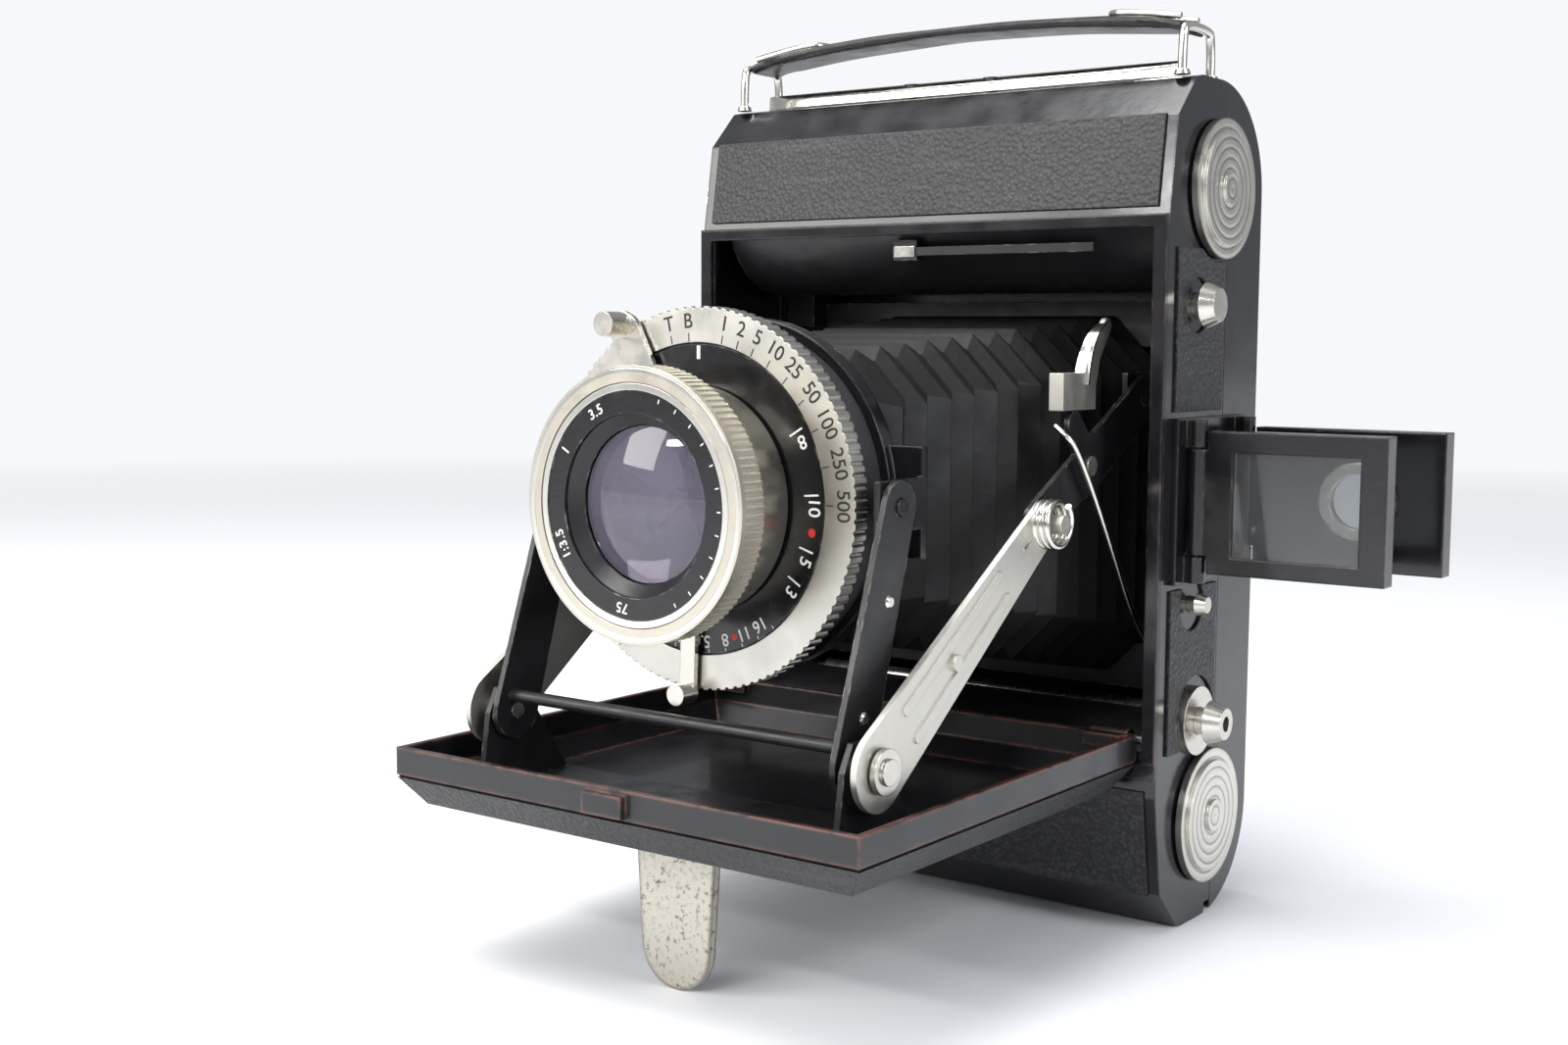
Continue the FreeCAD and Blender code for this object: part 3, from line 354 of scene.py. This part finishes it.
NODE_MATERIALS = {
    "enamel": ("body_shell", "front_frame", "back_cover", "finder_base", "lens_board",
               "finder_front_frame", "finder_rear_frame"),
    "bed": ("bed",),
    "lacquer": ("film_gate_frame", "pressure_plate", "bed_bracket", "standard_legs", "lens_barrel",
                "retaining_nut", "front_lens_cell", "upper_links", "take_up_spool", "bed_catch"),
    "face": ("shutter_face",),
    "crinkle": ("shutter_case",),
    "leatherette": ("leather_front", "leather_sides", "leather_back", "bed_leather"),
    "nickel": ("strap_fittings", "release_collar", "tripod_bush", "winding_knob", "film_roller_low",
               "film_roller_top", "main_rivets", "foot_hinge", "cocking_lever", "release_lever",
               "aperture_lever", "finder_eyepiece_ring", "bed_release_button", "finder_catch_button",
               "body_release_button"),
    "satin": ("lower_struts", "strut_rivets", "press_tabs"),
    "bright": ("back_latch_bar",),
    "knurl": ("focus_ring",),
    "ring": ("speed_ring",),
    "disc_top": ("spool_pin_right_top",),
    "disc_low": ("spool_pin_right_low", "spool_pin_left_low"),
    "foot": ("bed_foot",),
    "steel": ("hinge_pins", "knee_springs", "erecting_springs"),
    "lens": ("front_lens", "rear_lens"),
    "clear": ("finder_front_lens", "finder_eyepiece_lens"),
    "red": ("red_windows",),
}


def smooth_by_angle(mesh, degrees=32):
    mesh.polygons.foreach_set("use_smooth", [True] * len(mesh.polygons))
    bm = bmesh.new()
    bm.from_mesh(mesh)
    for edge in bm.edges:
        if len(edge.link_faces) == 2:
            edge.smooth = edge.calc_face_angle(0.0) < math.radians(degrees)
    bm.to_mesh(mesh)
    bm.free()


def dress_nodes():
    for key, names in NODE_MATERIALS.items():
        for name in names:
            slots = NODES[name].data.materials
            slots.clear()
            slots.append(MATS[key])


# ---------------------------------------------------------------- piece helpers
def piece(name, mesh, material, body, smooth=32):
    made = bpy.data.objects.new(name, mesh)
    bpy.context.scene.collection.objects.link(made)
    mesh.materials.clear()
    mesh.materials.append(MATS[material])
    if smooth:
        smooth_by_angle(mesh, smooth)
    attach(made, body)
    return made


def bm_mesh(bm, name):
    bmesh.ops.recalc_face_normals(bm, faces=bm.faces)
    mesh = bpy.data.meshes.new(name)
    bm.to_mesh(mesh)
    bm.free()
    return mesh


def mesh_of(curve):
    """The mesh of a curve or text, with the helper object removed."""
    holder = bpy.data.objects.new("holder", curve)
    bpy.context.scene.collection.objects.link(holder)
    bpy.context.view_layer.update()
    graph = bpy.context.evaluated_depsgraph_get()
    mesh = bpy.data.meshes.new_from_object(holder.evaluated_get(graph))
    bpy.data.objects.remove(holder)
    return mesh


def wire_mesh(points, radius):
    """A round wire of that radius along a smooth curve near the points."""
    curve = bpy.data.curves.new("wire", "CURVE")
    curve.dimensions = "3D"
    curve.bevel_depth = radius
    curve.bevel_resolution = 3
    curve.use_fill_caps = True
    curve.resolution_u = 6
    line = curve.splines.new("NURBS")
    line.points.add(len(points) - 1)
    for slot_point, co in zip(line.points, points):
        slot_point.co = (*co, 1.0)
    line.order_u = 3
    line.use_endpoint_u = True
    return mesh_of(curve)


def joined(meshes, name):
    bm = bmesh.new()
    for mesh in meshes:
        bm.from_mesh(mesh)
    result = bpy.data.meshes.new(name)
    bm.to_mesh(result)
    bm.free()
    return result


def lathe(profile):
    """A closed ring about the lens axis from a closed (radius, y) outline."""
    steps = 96
    bm = bmesh.new()
    rings = []
    for i in range(steps):
        angle = 2 * math.pi * i / steps
        ring = [bm.verts.new((LENS.x + r * math.cos(angle), y, LENS.z + r * math.sin(angle)))
                for r, y in profile]
        rings.append(ring)
    count = len(profile)
    for i in range(steps):
        for j in range(count):
            k = (j + 1) % count
            bm.faces.new((rings[i][j], rings[i][k], rings[(i + 1) % steps][k], rings[(i + 1) % steps][j]))
    return bm_mesh(bm, "lathe")


def round_text(text, size, angle_deg, radius, y, turn_deg=0.0, spacing=1.0):
    """Raised text on a face that looks to -Y, with its top pointing away from the lens axis."""
    curve = bpy.data.curves.new("text", "FONT")
    curve.body = text
    curve.size = size
    curve.align_x = "CENTER"
    curve.align_y = "CENTER"
    curve.extrude = 0.015 * MM
    curve.offset = 0.02 * MM
    curve.space_character = spacing
    mesh = mesh_of(curve)
    angle = math.radians(angle_deg)
    place = Vector((LENS.x + radius * math.cos(angle), y, LENS.z + radius * math.sin(angle)))
    turn = Matrix.Rotation(math.pi / 2 - angle + math.radians(turn_deg), 4, "Y")
    mesh.transform(Matrix.Translation(place) @ turn @ Matrix.Rotation(math.pi / 2, 4, "X"))
    return mesh


MARK_T = 0.04 * MM


def tick(angle_deg, r_in, r_out, width, y):
    """A short radial line on a dial."""
    bm = bmesh.new()
    bmesh.ops.create_cube(bm, size=1.0)
    bm.transform(Matrix.Diagonal((r_out - r_in, MARK_T, width, 1)))
    bm.transform(Matrix.Translation(((r_in + r_out) / 2, 0, 0)))
    bm.transform(Matrix.Rotation(-math.radians(angle_deg), 4, "Y"))
    bm.transform(Matrix.Translation((LENS.x, y, LENS.z)))
    return bm_mesh(bm, "tick")


def dot_mark(angle_deg, radius, size, y):
    """A round dot on a dial."""
    bm = bmesh.new()
    bmesh.ops.create_cone(bm, cap_ends=True, segments=20, radius1=size, radius2=size, depth=MARK_T)
    bm.transform(Matrix.Rotation(math.pi / 2, 4, "X"))
    angle = math.radians(angle_deg)
    place = (LENS.x + radius * math.cos(angle), y, LENS.z + radius * math.sin(angle))
    bm.transform(Matrix.Translation(place))
    return bm_mesh(bm, "dot")


# ---------------------------------------------------------------- pieces
def speed_scale():
    """The shutter speeds on the turning dial."""
    speeds = (("T", 102), ("B", 94), ("1", 79), ("2", 72), ("5", 65), ("10", 57), ("25", 48),
              ("50", 38), ("100", 27), ("250", 14), ("500", 1))
    y = SPEED_FACE - 0.01 * MM
    meshes = []
    for text, angle in speeds:
        meshes.append(round_text(text, 2.5 * MM, angle, SPEED_R - 1.75 * MM, y))
        meshes.append(tick(angle, SPEED_R - 4.1 * MM, SPEED_R - 3.1 * MM, 0.14 * MM, y))
    piece("speed_numbers", joined(meshes, "speed_numbers"), "ink", "speeds", 0)


def face_scale():
    """Distances at the right of the shutter's face and apertures along its foot."""
    y = FACE_Y - 0.02 * MM
    radius = 16.9 * MM
    white = []
    for text, angle, turn in (("8", 26, 90), ("10", 0, 0), ("5", -22, 0), ("3", -36, 0)):
        white.append(round_text(text, 2.3 * MM, angle, radius, y, turn))
        white.append(tick(angle + 4.6, 15.6 * MM, 17.6 * MM, 0.22 * MM, y))
    for text, angle in (("16", -57), ("11", -66), ("8", -76), ("5.6", -88), ("4", -99)):
        white.append(round_text(text, 2.1 * MM, angle, radius, y))
    for i in range(7):
        white.append(tick(-52 - i * 8.2, 17.9 * MM, 18.3 * MM, 0.12 * MM, y))
    piece("face_numbers", joined(white, "face_numbers"), "white", "standard", 0)
    red = [dot_mark(-10, radius, 0.5 * MM, y), dot_mark(-71, radius, 0.42 * MM, y)]
    piece("face_red_dots", joined(red, "face_red_dots"), "red_ink", "standard", 0)
    arrow = [tick(90, 16.6 * MM, 18.2 * MM, 0.5 * MM, y)]
    piece("speed_index", joined(arrow, "speed_index"), "white", "standard", 0)


def lens_front():
    """Bright rims, dark groove and black name ring in front of the glass."""
    front = FOCUS_LOW.y
    rim_in = CELL_R + 1.1 * MM
    rim = lathe([(rim_in, front), (FOCUS_R - 0.35 * MM, front),
                 (FOCUS_R - 0.05 * MM, front + 0.3 * MM), (FOCUS_R - 0.05 * MM, front + 0.65 * MM),
                 (rim_in, front + 0.65 * MM)])
    rim.transform(Matrix.Translation((0, -0.02 * MM, 0)))
    piece("focus_rim", rim, "bright", "focus")
    groove = lathe([(CELL_R + 0.05 * MM, front + 0.25 * MM), (rim_in, front + 0.25 * MM),
                    (rim_in, front + 0.6 * MM), (CELL_R + 0.05 * MM, front + 0.6 * MM)])
    piece("focus_groove", groove, "lacquer", "focus")
    inner = lathe([(CELL_R - 0.8 * MM, front + 0.1 * MM), (CELL_R, front + 0.1 * MM),
                   (CELL_R, front + 0.4 * MM), (CELL_R - 0.8 * MM, front + 0.4 * MM)])
    piece("cell_rim", inner, "bright", "focus")
    marks = []
    name_y = CELL_LOW.y - 0.03 * MM
    for text, angle in (("1:3.5", 205), ("75", 262), ("1", 150), ("3.5", 118)):
        marks.append(round_text(text, 1.7 * MM, angle, CELL_R - 2.1 * MM, name_y, 0, 1.1))
    for i in range(12):
        marks.append(tick(-60 + i * 12, CELL_R - 1.7 * MM, CELL_R - 1.2 * MM, 0.14 * MM, name_y))
    ring = lathe([(CELL_R - 3.4 * MM, name_y + 0.02 * MM), (CELL_R - 0.8 * MM, name_y + 0.02 * MM),
                  (CELL_R - 0.8 * MM, name_y + 0.4 * MM), (CELL_R - 3.4 * MM, name_y + 0.9 * MM)])
    piece("name_ring", ring, "face", "focus")
    piece("name_ring_marks", joined(marks, "name_ring_marks"), "white", "focus", 0)


def shutter_blades():
    """Five closed leaves behind the front glass."""
    bm = bmesh.new()
    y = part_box("front_lens")[1].y + 4.0 * MM
    radius = 9.0 * MM
    count = 5
    for i in range(count):
        base = 2 * math.pi * i / count
        points = [(0.0, 0.0)]
        for j in range(9):
            angle = base + 2 * math.pi / count * 1.15 * j / 8
            points.append((radius * math.cos(angle), radius * math.sin(angle)))
        front = [bm.verts.new((LENS.x + px, y + i * 0.09 * MM, LENS.z + pz)) for px, pz in points]
        back = [bm.verts.new((LENS.x + px, y + (i + 0.8) * 0.09 * MM, LENS.z + pz)) for px, pz in points]
        bm.faces.new(front)
        bm.faces.new(back[::-1])
        for a in range(len(points)):
            b = (a + 1) % len(points)
            bm.faces.new((front[b], front[a], back[a], back[b]))
    piece("shutter_leaves", bm_mesh(bm, "shutter_leaves"), "blades", "standard", 0)


def pleated_bellows():
    """Tapered bellows: each fold steps in and out, with cut corners, as pleated leather does."""
    low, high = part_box("bellows")
    board_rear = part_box("retaining_nut")[1].y
    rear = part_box("film_gate_frame")[1].y - 1.5 * MM
    folds = 13
    rear_mid = Vector(((low.x + high.x) / 2, 0, (low.z + high.z) / 2))
    front_half = (17.5 * MM, 17.5 * MM)
    rear_half = (high.x - 0.3 * MM, 25.4 * MM)
    fold_depth = 2.2 * MM
    corner_out = 7.0 * MM
    corner_in = 4.5 * MM
    sag_step = 0.2 * MM
    bm = bmesh.new()
    rings = []
    count = folds * 2
    for i in range(count + 1):
        t = i / count
        y = rear + (board_rear - rear) * t
        inset = fold_depth * (1.0 - 0.25 * t) if i % 2 else 0.0
        hx = rear_half[0] + (front_half[0] - rear_half[0]) * t - inset
        hz = rear_half[1] + (front_half[1] - rear_half[1]) * t - inset
        cz = rear_mid.z + (LENS.z - rear_mid.z) * t
        cut = corner_in if i % 2 else corner_out
        outline = [(hx - cut, -hz), (hx, -hz + cut), (hx, hz - cut), (hx - cut, hz),
                   (-hx + cut, hz), (-hx, hz - cut), (-hx, -hz + cut), (-hx + cut, -hz)]
        sag = sag_step * math.sin(i * 1.7)
        rings.append([bm.verts.new((px, y + sag, cz + pz)) for px, pz in outline])
    collar_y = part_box("retaining_nut")[0].y + 0.05 * MM
    rings.append([bm.verts.new((vert.co.x, collar_y, vert.co.z)) for vert in rings[-1]])
    for a, b in zip(rings[:-1], rings[1:]):
        for j in range(8):
            k = (j + 1) % 8
            bm.faces.new((a[j], a[k], b[k], b[j]))
    made = piece("pleated_bellows", bm_mesh(bm, "pleated_bellows"), "bellows", "body", 0)
    wall = made.modifiers.new("wall", "SOLIDIFY")
    wall.thickness = 0.35 * MM
    wall.offset = -1
    edges = made.modifiers.new("edges", "BEVEL")
    edges.width = 0.25 * MM
    edges.segments = 2
    edges.limit_method = "ANGLE"
    graph = bpy.context.evaluated_depsgraph_get()
    made.data = bpy.data.meshes.new_from_object(made.evaluated_get(graph))
    made.modifiers.clear()
    smooth_by_angle(made.data, 25)
    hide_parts("bellows")
    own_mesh(made)


STRAP_T = 1.5 * MM
STRAP_LOW, STRAP_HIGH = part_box("carry_strap")


def strap_spine(x):
    """The middle of the strap's thickness at x: it rises off both ends and is level in between."""
    share = (x - STRAP_LOW.x) / (STRAP_HIGH.x - STRAP_LOW.x)
    rise = STRAP_HIGH.z - STRAP_LOW.z - STRAP_T
    lift = max(0.0, math.sin(math.pi * share)) ** 0.6
    z = STRAP_HIGH.z - STRAP_T / 2 - rise * (1 - lift)
    return Vector((x, (STRAP_LOW.y + STRAP_HIGH.y) / 2, z))


def carrying_strap():
    """Leather strap with rounded edges, a little uneven in thickness."""
    low, high = STRAP_LOW, STRAP_HIGH
    length = high.x - low.x
    steps = 48
    bm = bmesh.new()
    section = 16
    rings = []
    for i in range(steps + 1):
        t = i / steps
        p = strap_spine(low.x + length * t)
        half_w = (high.y - low.y) / 2 * (1.0 if 0.06 < t < 0.94 else 0.86)
        half_t = STRAP_T / 2 * (0.95 + 0.12 * math.sin(9 * t) + 0.06 * math.sin(23 * t))
        ring = []
        for j in range(section):
            a = 2 * math.pi * j / section
            c, s = math.cos(a), math.sin(a)
            dy = half_w * math.copysign(abs(c) ** 0.35, c)
            dz = half_t * math.copysign(abs(s) ** 0.6, s)
            ring.append(bm.verts.new((p.x, p.y + dy, p.z + dz)))
        rings.append(ring)
    for a, b in zip(rings[:-1], rings[1:]):
        for j in range(section):
            k = (j + 1) % section
            bm.faces.new((a[j], a[k], b[k], b[j]))
    bm.faces.new(rings[0][::-1])
    bm.faces.new(rings[-1])
    made = piece("leather_strap", bm_mesh(bm, "leather_strap"), "strap", "body", 40)
    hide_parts("carry_strap")


def strap_wires():
    """A wire staple at each end of the strap, and a long wire loop that lies on the strap there."""
    low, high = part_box("strap_fittings")
    wire = 0.6 * MM
    foot_r = 1.1 * MM
    x = high.x - foot_r
    y_front = low.y + foot_r
    y_back = high.y - foot_r
    top = high.z - wire
    reach = 11.0 * MM
    meshes = []
    for side in (-1, 1):
        posts = [(side * x, y_front, low.z), (side * x, y_front, top - 1.0 * MM),
                 (side * x, y_front + 1.0 * MM, top), (side * x, y_back - 1.0 * MM, top),
                 (side * x, y_back, top - 1.0 * MM), (side * x, y_back, low.z)]
        meshes.append(wire_mesh(posts, wire))
        for y in (y_front, y_back):
            bm = bmesh.new()
            bmesh.ops.create_cone(bm, cap_ends=True, segments=32, radius1=foot_r, radius2=foot_r * 0.85,
                                  depth=0.6 * MM)
            bm.transform(Matrix.Translation((side * x, y, low.z + 0.3 * MM)))
            meshes.append(bm_mesh(bm, "staple_foot"))
        loop = []
        for share, across in ((0.0, -1), (0.5, -1), (0.93, -0.9), (1.0, 0), (0.93, 0.9), (0.5, 1), (0.0, 1)):
            place = strap_spine(side * (STRAP_HIGH.x - 0.3 * MM - reach * share))
            loop.append(place + Vector((0, across * 2.6 * MM, STRAP_T / 2 + 0.5 * MM)))
        meshes.append(wire_mesh(loop, 0.45 * MM))
    made = piece("strap_wires", joined(meshes, "strap_wires"), "bright", "body", 50)
    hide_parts("strap_fittings")


def catch_face():
    """The bright end of the bed catch; the rest of its spring is blackened."""
    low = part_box("bed_catch")[0]
    bm = bmesh.new()
    bmesh.ops.create_cube(bm, size=1.0)
    bm.transform(Matrix.Diagonal((3.4 * MM, 0.25 * MM, 1.5 * MM, 1)))
    bm.transform(Matrix.Translation((low.x + 1.9 * MM, low.y - 0.13 * MM, low.z + 1.2 * MM)))
    piece("catch_face", bm_mesh(bm, "catch_face"), "bright", "catch")


def tab_tails():
    """The curved tail above each press tab."""
    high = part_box("press_tabs")[1]
    start = Vector((0, high.y - 6.5 * MM, high.z - 8.5 * MM))
    end = Vector((0, high.y - 0.8 * MM, high.z - 0.3 * MM))
    bulge = Vector((0, -1.2 * MM, 1.4 * MM))
    steps = 12
    half_t = 0.22 * MM
    bm = bmesh.new()
    for side in (-1, 1):
        rings = []
        for i in range(steps + 1):
            t = i / steps
            p = start.lerp(end, t) + bulge * (4 * t * (1 - t))
            inner = high.x - (2.1 - 1.1 * t) * MM
            outer = high.x + 0.1 * MM
            rings.append([bm.verts.new((side * x, p.y + y, p.z)) for x, y in
                          ((inner, -half_t), (outer, -half_t), (outer, half_t), (inner, half_t))])
        for a, b in zip(rings[:-1], rings[1:]):
            for j in range(4):
                k = (j + 1) % 4
                bm.faces.new((a[j], a[k], b[k], b[j]))
        bm.faces.new(rings[0][::-1])
        bm.faces.new(rings[-1])
    piece("tab_tails", bm_mesh(bm, "tab_tails"), "bright", "links")


def latch_cover():
    """The polished latch bar is a half-round strip."""
    low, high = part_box("back_latch_bar")
    bar_height = 2.1 * MM
    bm = bmesh.new()
    section = 12
    steps = 24
    rings = []
    for i in range(steps + 1):
        t = i / steps
        x = low.x + (high.x - low.x) * t
        taper = min(1.0, 3.5 * math.sin(math.pi * min(max(t, 0.02), 0.98)))
        ring = []
        for j in range(section + 1):
            a = math.pi * j / section
            y = (low.y + high.y) / 2 - (high.y - low.y) / 2 * math.cos(a) * taper
            ring.append(bm.verts.new((x, y, low.z + bar_height * math.sin(a) ** 0.7)))
        rings.append(ring)
    for a, b in zip(rings[:-1], rings[1:]):
        for j in range(section + 1):
            k = (j + 1) % (section + 1)
            bm.faces.new((a[j], a[k], b[k], b[j]))
    bm.faces.new(rings[0][::-1])
    bm.faces.new(rings[-1])
    made = piece("latch_bar_polished", bm_mesh(bm, "latch_bar_polished"), "bright", "latch", 40)
    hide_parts("back_latch_bar")


def erecting_wires():
    """A bent spring wire on each side, from the press tab down to the body wall."""
    low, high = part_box("erecting_springs")
    meshes = []
    for side in (-1, 1):
        x = side * (high.x - 0.4 * MM)
        points = [(x - side * 2.6 * MM, low.y - 0.2 * MM, high.z + 1.2 * MM),
                  (x - side * 0.8 * MM, low.y - 0.9 * MM, high.z + 0.2 * MM),
                  (x, low.y + 0.8 * MM, high.z - 1.6 * MM),
                  (x, (low.y + high.y) / 2, (low.z + high.z) / 2 + 0.6 * MM),
                  (x, high.y - 0.5 * MM, low.z + 1.0 * MM),
                  (x + side * 1.4 * MM, high.y + 0.4 * MM, low.z - 0.6 * MM)]
        meshes.append(wire_mesh(points, 0.42 * MM))
    made = piece("erecting_wires", joined(meshes, "erecting_wires"), "bright", "body", 60)
    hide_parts("erecting_springs")
    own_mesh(made)


def knee_coils():
    """Wound springs on the knee pins, with one leg lying along the strut."""
    low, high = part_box("knee_springs")
    mid_y = (low.y + high.y) / 2
    mid_z = (low.z + high.z) / 2
    wire = 0.45 * MM
    radius = (high.z - low.z) / 2 - wire
    turns = 3
    per_turn = 20
    meshes = []
    strut_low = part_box("lower_struts")[0]
    leg = (Vector((0, strut_low.y, strut_low.z)) - Vector((0, mid_y, mid_z))).normalized()
    for side in (-1, 1):
        points = []
        inner = high.x - 3.2 * MM
        for i in range(turns * per_turn + 1):
            angle = 2 * math.pi * i / per_turn + 0.9
            x = side * (inner + 0.35 * MM + 2.5 * MM * i / (turns * per_turn))
            points.append((x, mid_y + radius * math.cos(angle), mid_z + radius * math.sin(angle)))
        tail = Vector(points[0])
        reach = tail + leg * 8.5 * MM
        points = [tuple(reach), tuple(tail + leg * 2.5 * MM)] + points
        meshes.append(wire_mesh(points, wire))
    made = piece("knee_coils", joined(meshes, "knee_coils"), "bright", "struts", 60)
    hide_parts("knee_springs")


LEG_RIVETS = ((-56.2 * MM, 48.5 * MM), (-61.0 * MM, 36.0 * MM))


def leg_rivets():
    """Small rivet heads on the outside of each leg."""
    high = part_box("standard_legs")[1]
    meshes = []
    for side in (-1, 1):
        for y, z in LEG_RIVETS:
            bm = bmesh.new()
            bmesh.ops.create_cone(bm, cap_ends=True, segments=24, radius1=0.85 * MM, radius2=0.55 * MM,
                                  depth=0.3 * MM)
            bm.transform(Matrix.Rotation(side * math.pi / 2, 4, "Y"))
            bm.transform(Matrix.Translation((side * (high.x + 0.12 * MM), y, z)))
            meshes.append(bm_mesh(bm, "rivet"))
    piece("leg_rivets", joined(meshes, "leg_rivets"), "bright", "legs")


# ---------------------------------------------------------------- stage
FOCAL_PX = 1927.1
PICTURE_W = 1600
YAW = math.radians(36.7)
PITCH = math.radians(5.6)
ROLL = math.radians(0.3)
EYE = Vector((0.1417, -0.2311, 0.0779))
BACKDROP = (0.93, 0.94, 0.97, 1.0)


def camera():
    """The photographer's view of the front and right side."""
    data = bpy.data.cameras.new("camera")
    data.sensor_width = 36.0
    data.lens = 36.0 * FOCAL_PX / PICTURE_W
    data.clip_start = 0.01
    made = bpy.data.objects.new("camera", data)
    bpy.context.scene.collection.objects.link(made)
    forward = Vector((-math.sin(YAW) * math.cos(PITCH), math.cos(YAW) * math.cos(PITCH), -math.sin(PITCH)))
    right = forward.cross(Vector((0, 0, 1))).normalized()
    up = right.cross(forward)
    rolled = right * math.cos(ROLL) + up * math.sin(ROLL)
    up = rolled.cross(forward)
    turn = Matrix((rolled, up, -forward)).transposed().to_4x4()
    made.matrix_world = Matrix.Translation(EYE) @ turn
    bpy.context.scene.camera = made


def area(name, place, target, size, power, colour=(1, 1, 1)):
    """A soft rectangular lamp at place that points at target."""
    data = bpy.data.lights.new(name, "AREA")
    data.shape = "RECTANGLE"
    data.size, data.size_y = size
    data.energy = power
    data.color = colour
    made = bpy.data.objects.new(name, data)
    bpy.context.scene.collection.objects.link(made)
    made.location = place
    made.rotation_euler = (Vector(target) - Vector(place)).to_track_quat("-Z", "Y").to_euler()


def stage():
    """White floor that fades into a white backdrop, with soft lamps."""
    bm = bmesh.new()
    bmesh.ops.create_grid(bm, x_segments=1, y_segments=1, size=3.0)
    floor = bpy.data.objects.new("floor", bm_mesh(bm, "floor"))
    bpy.context.scene.collection.objects.link(floor)
    s = Shade("white_paper")
    s.colour(s.mixed(s.noise(6, 2), (0.80, 0.81, 0.84), (0.84, 0.85, 0.87)))
    s.rough(0.75)
    far = s.node("ShaderNodeVectorMath", operation="LENGTH")
    s.link(s.coords, far.inputs[0])
    fade = s.span(far.outputs["Value"], 0.25, 1.0, 0.0, 1.0)
    glow = s.node("ShaderNodeEmission")
    glow.inputs["Color"].default_value = BACKDROP
    blend = s.node("ShaderNodeMixShader")
    s.link(fade, blend.inputs[0])
    s.link(s.bsdf.outputs[0], blend.inputs[1])
    s.link(glow.outputs[0], blend.inputs[2])
    s.link(blend.outputs[0], s.tree.nodes["Material Output"].inputs["Surface"])
    floor.data.materials.append(s.mat)
    world = bpy.data.worlds.new("studio")
    world.use_nodes = True
    tree = world.node_tree
    ambient = tree.nodes["Background"]
    ambient.inputs["Color"].default_value = (0.90, 0.93, 1.0, 1.0)
    ambient.inputs["Strength"].default_value = 0.42
    backdrop = tree.nodes.new("ShaderNodeBackground")
    backdrop.inputs["Color"].default_value = BACKDROP
    path = tree.nodes.new("ShaderNodeLightPath")
    pick = tree.nodes.new("ShaderNodeMixShader")
    tree.links.new(path.outputs["Is Camera Ray"], pick.inputs[0])
    tree.links.new(ambient.outputs[0], pick.inputs[1])
    tree.links.new(backdrop.outputs[0], pick.inputs[2])
    tree.links.new(pick.outputs[0], tree.nodes["World Output"].inputs["Surface"])
    bpy.context.scene.world = world
    aim = (0.0, -0.02, 0.06)
    area("top_soft", (-0.15, -0.15, 0.75), aim, (0.5, 0.5), 6.0)
    area("front_left", (-0.55, -0.65, 0.45), aim, (0.35, 0.5), 4.0, (1.0, 0.98, 0.95))
    area("right_window", (0.75, -0.1, 0.40), aim, (0.3, 0.5), 4.0, (0.95, 0.97, 1.0))
    area("tube_a", (0.10, -0.75, 0.55), aim, (0.50, 0.04), 2.0)
    area("tube_b", (-0.15, -0.85, 0.42), aim, (0.50, 0.04), 2.0)
    bpy.context.scene.view_settings.view_transform = "Standard"


camera()
stage()
dress_nodes()
speed_scale()
face_scale()
lens_front()
shutter_blades()
pleated_bellows()
carrying_strap()
strap_wires()
latch_cover()
catch_face()
tab_tails()
erecting_wires()
knee_coils()
leg_rivets()
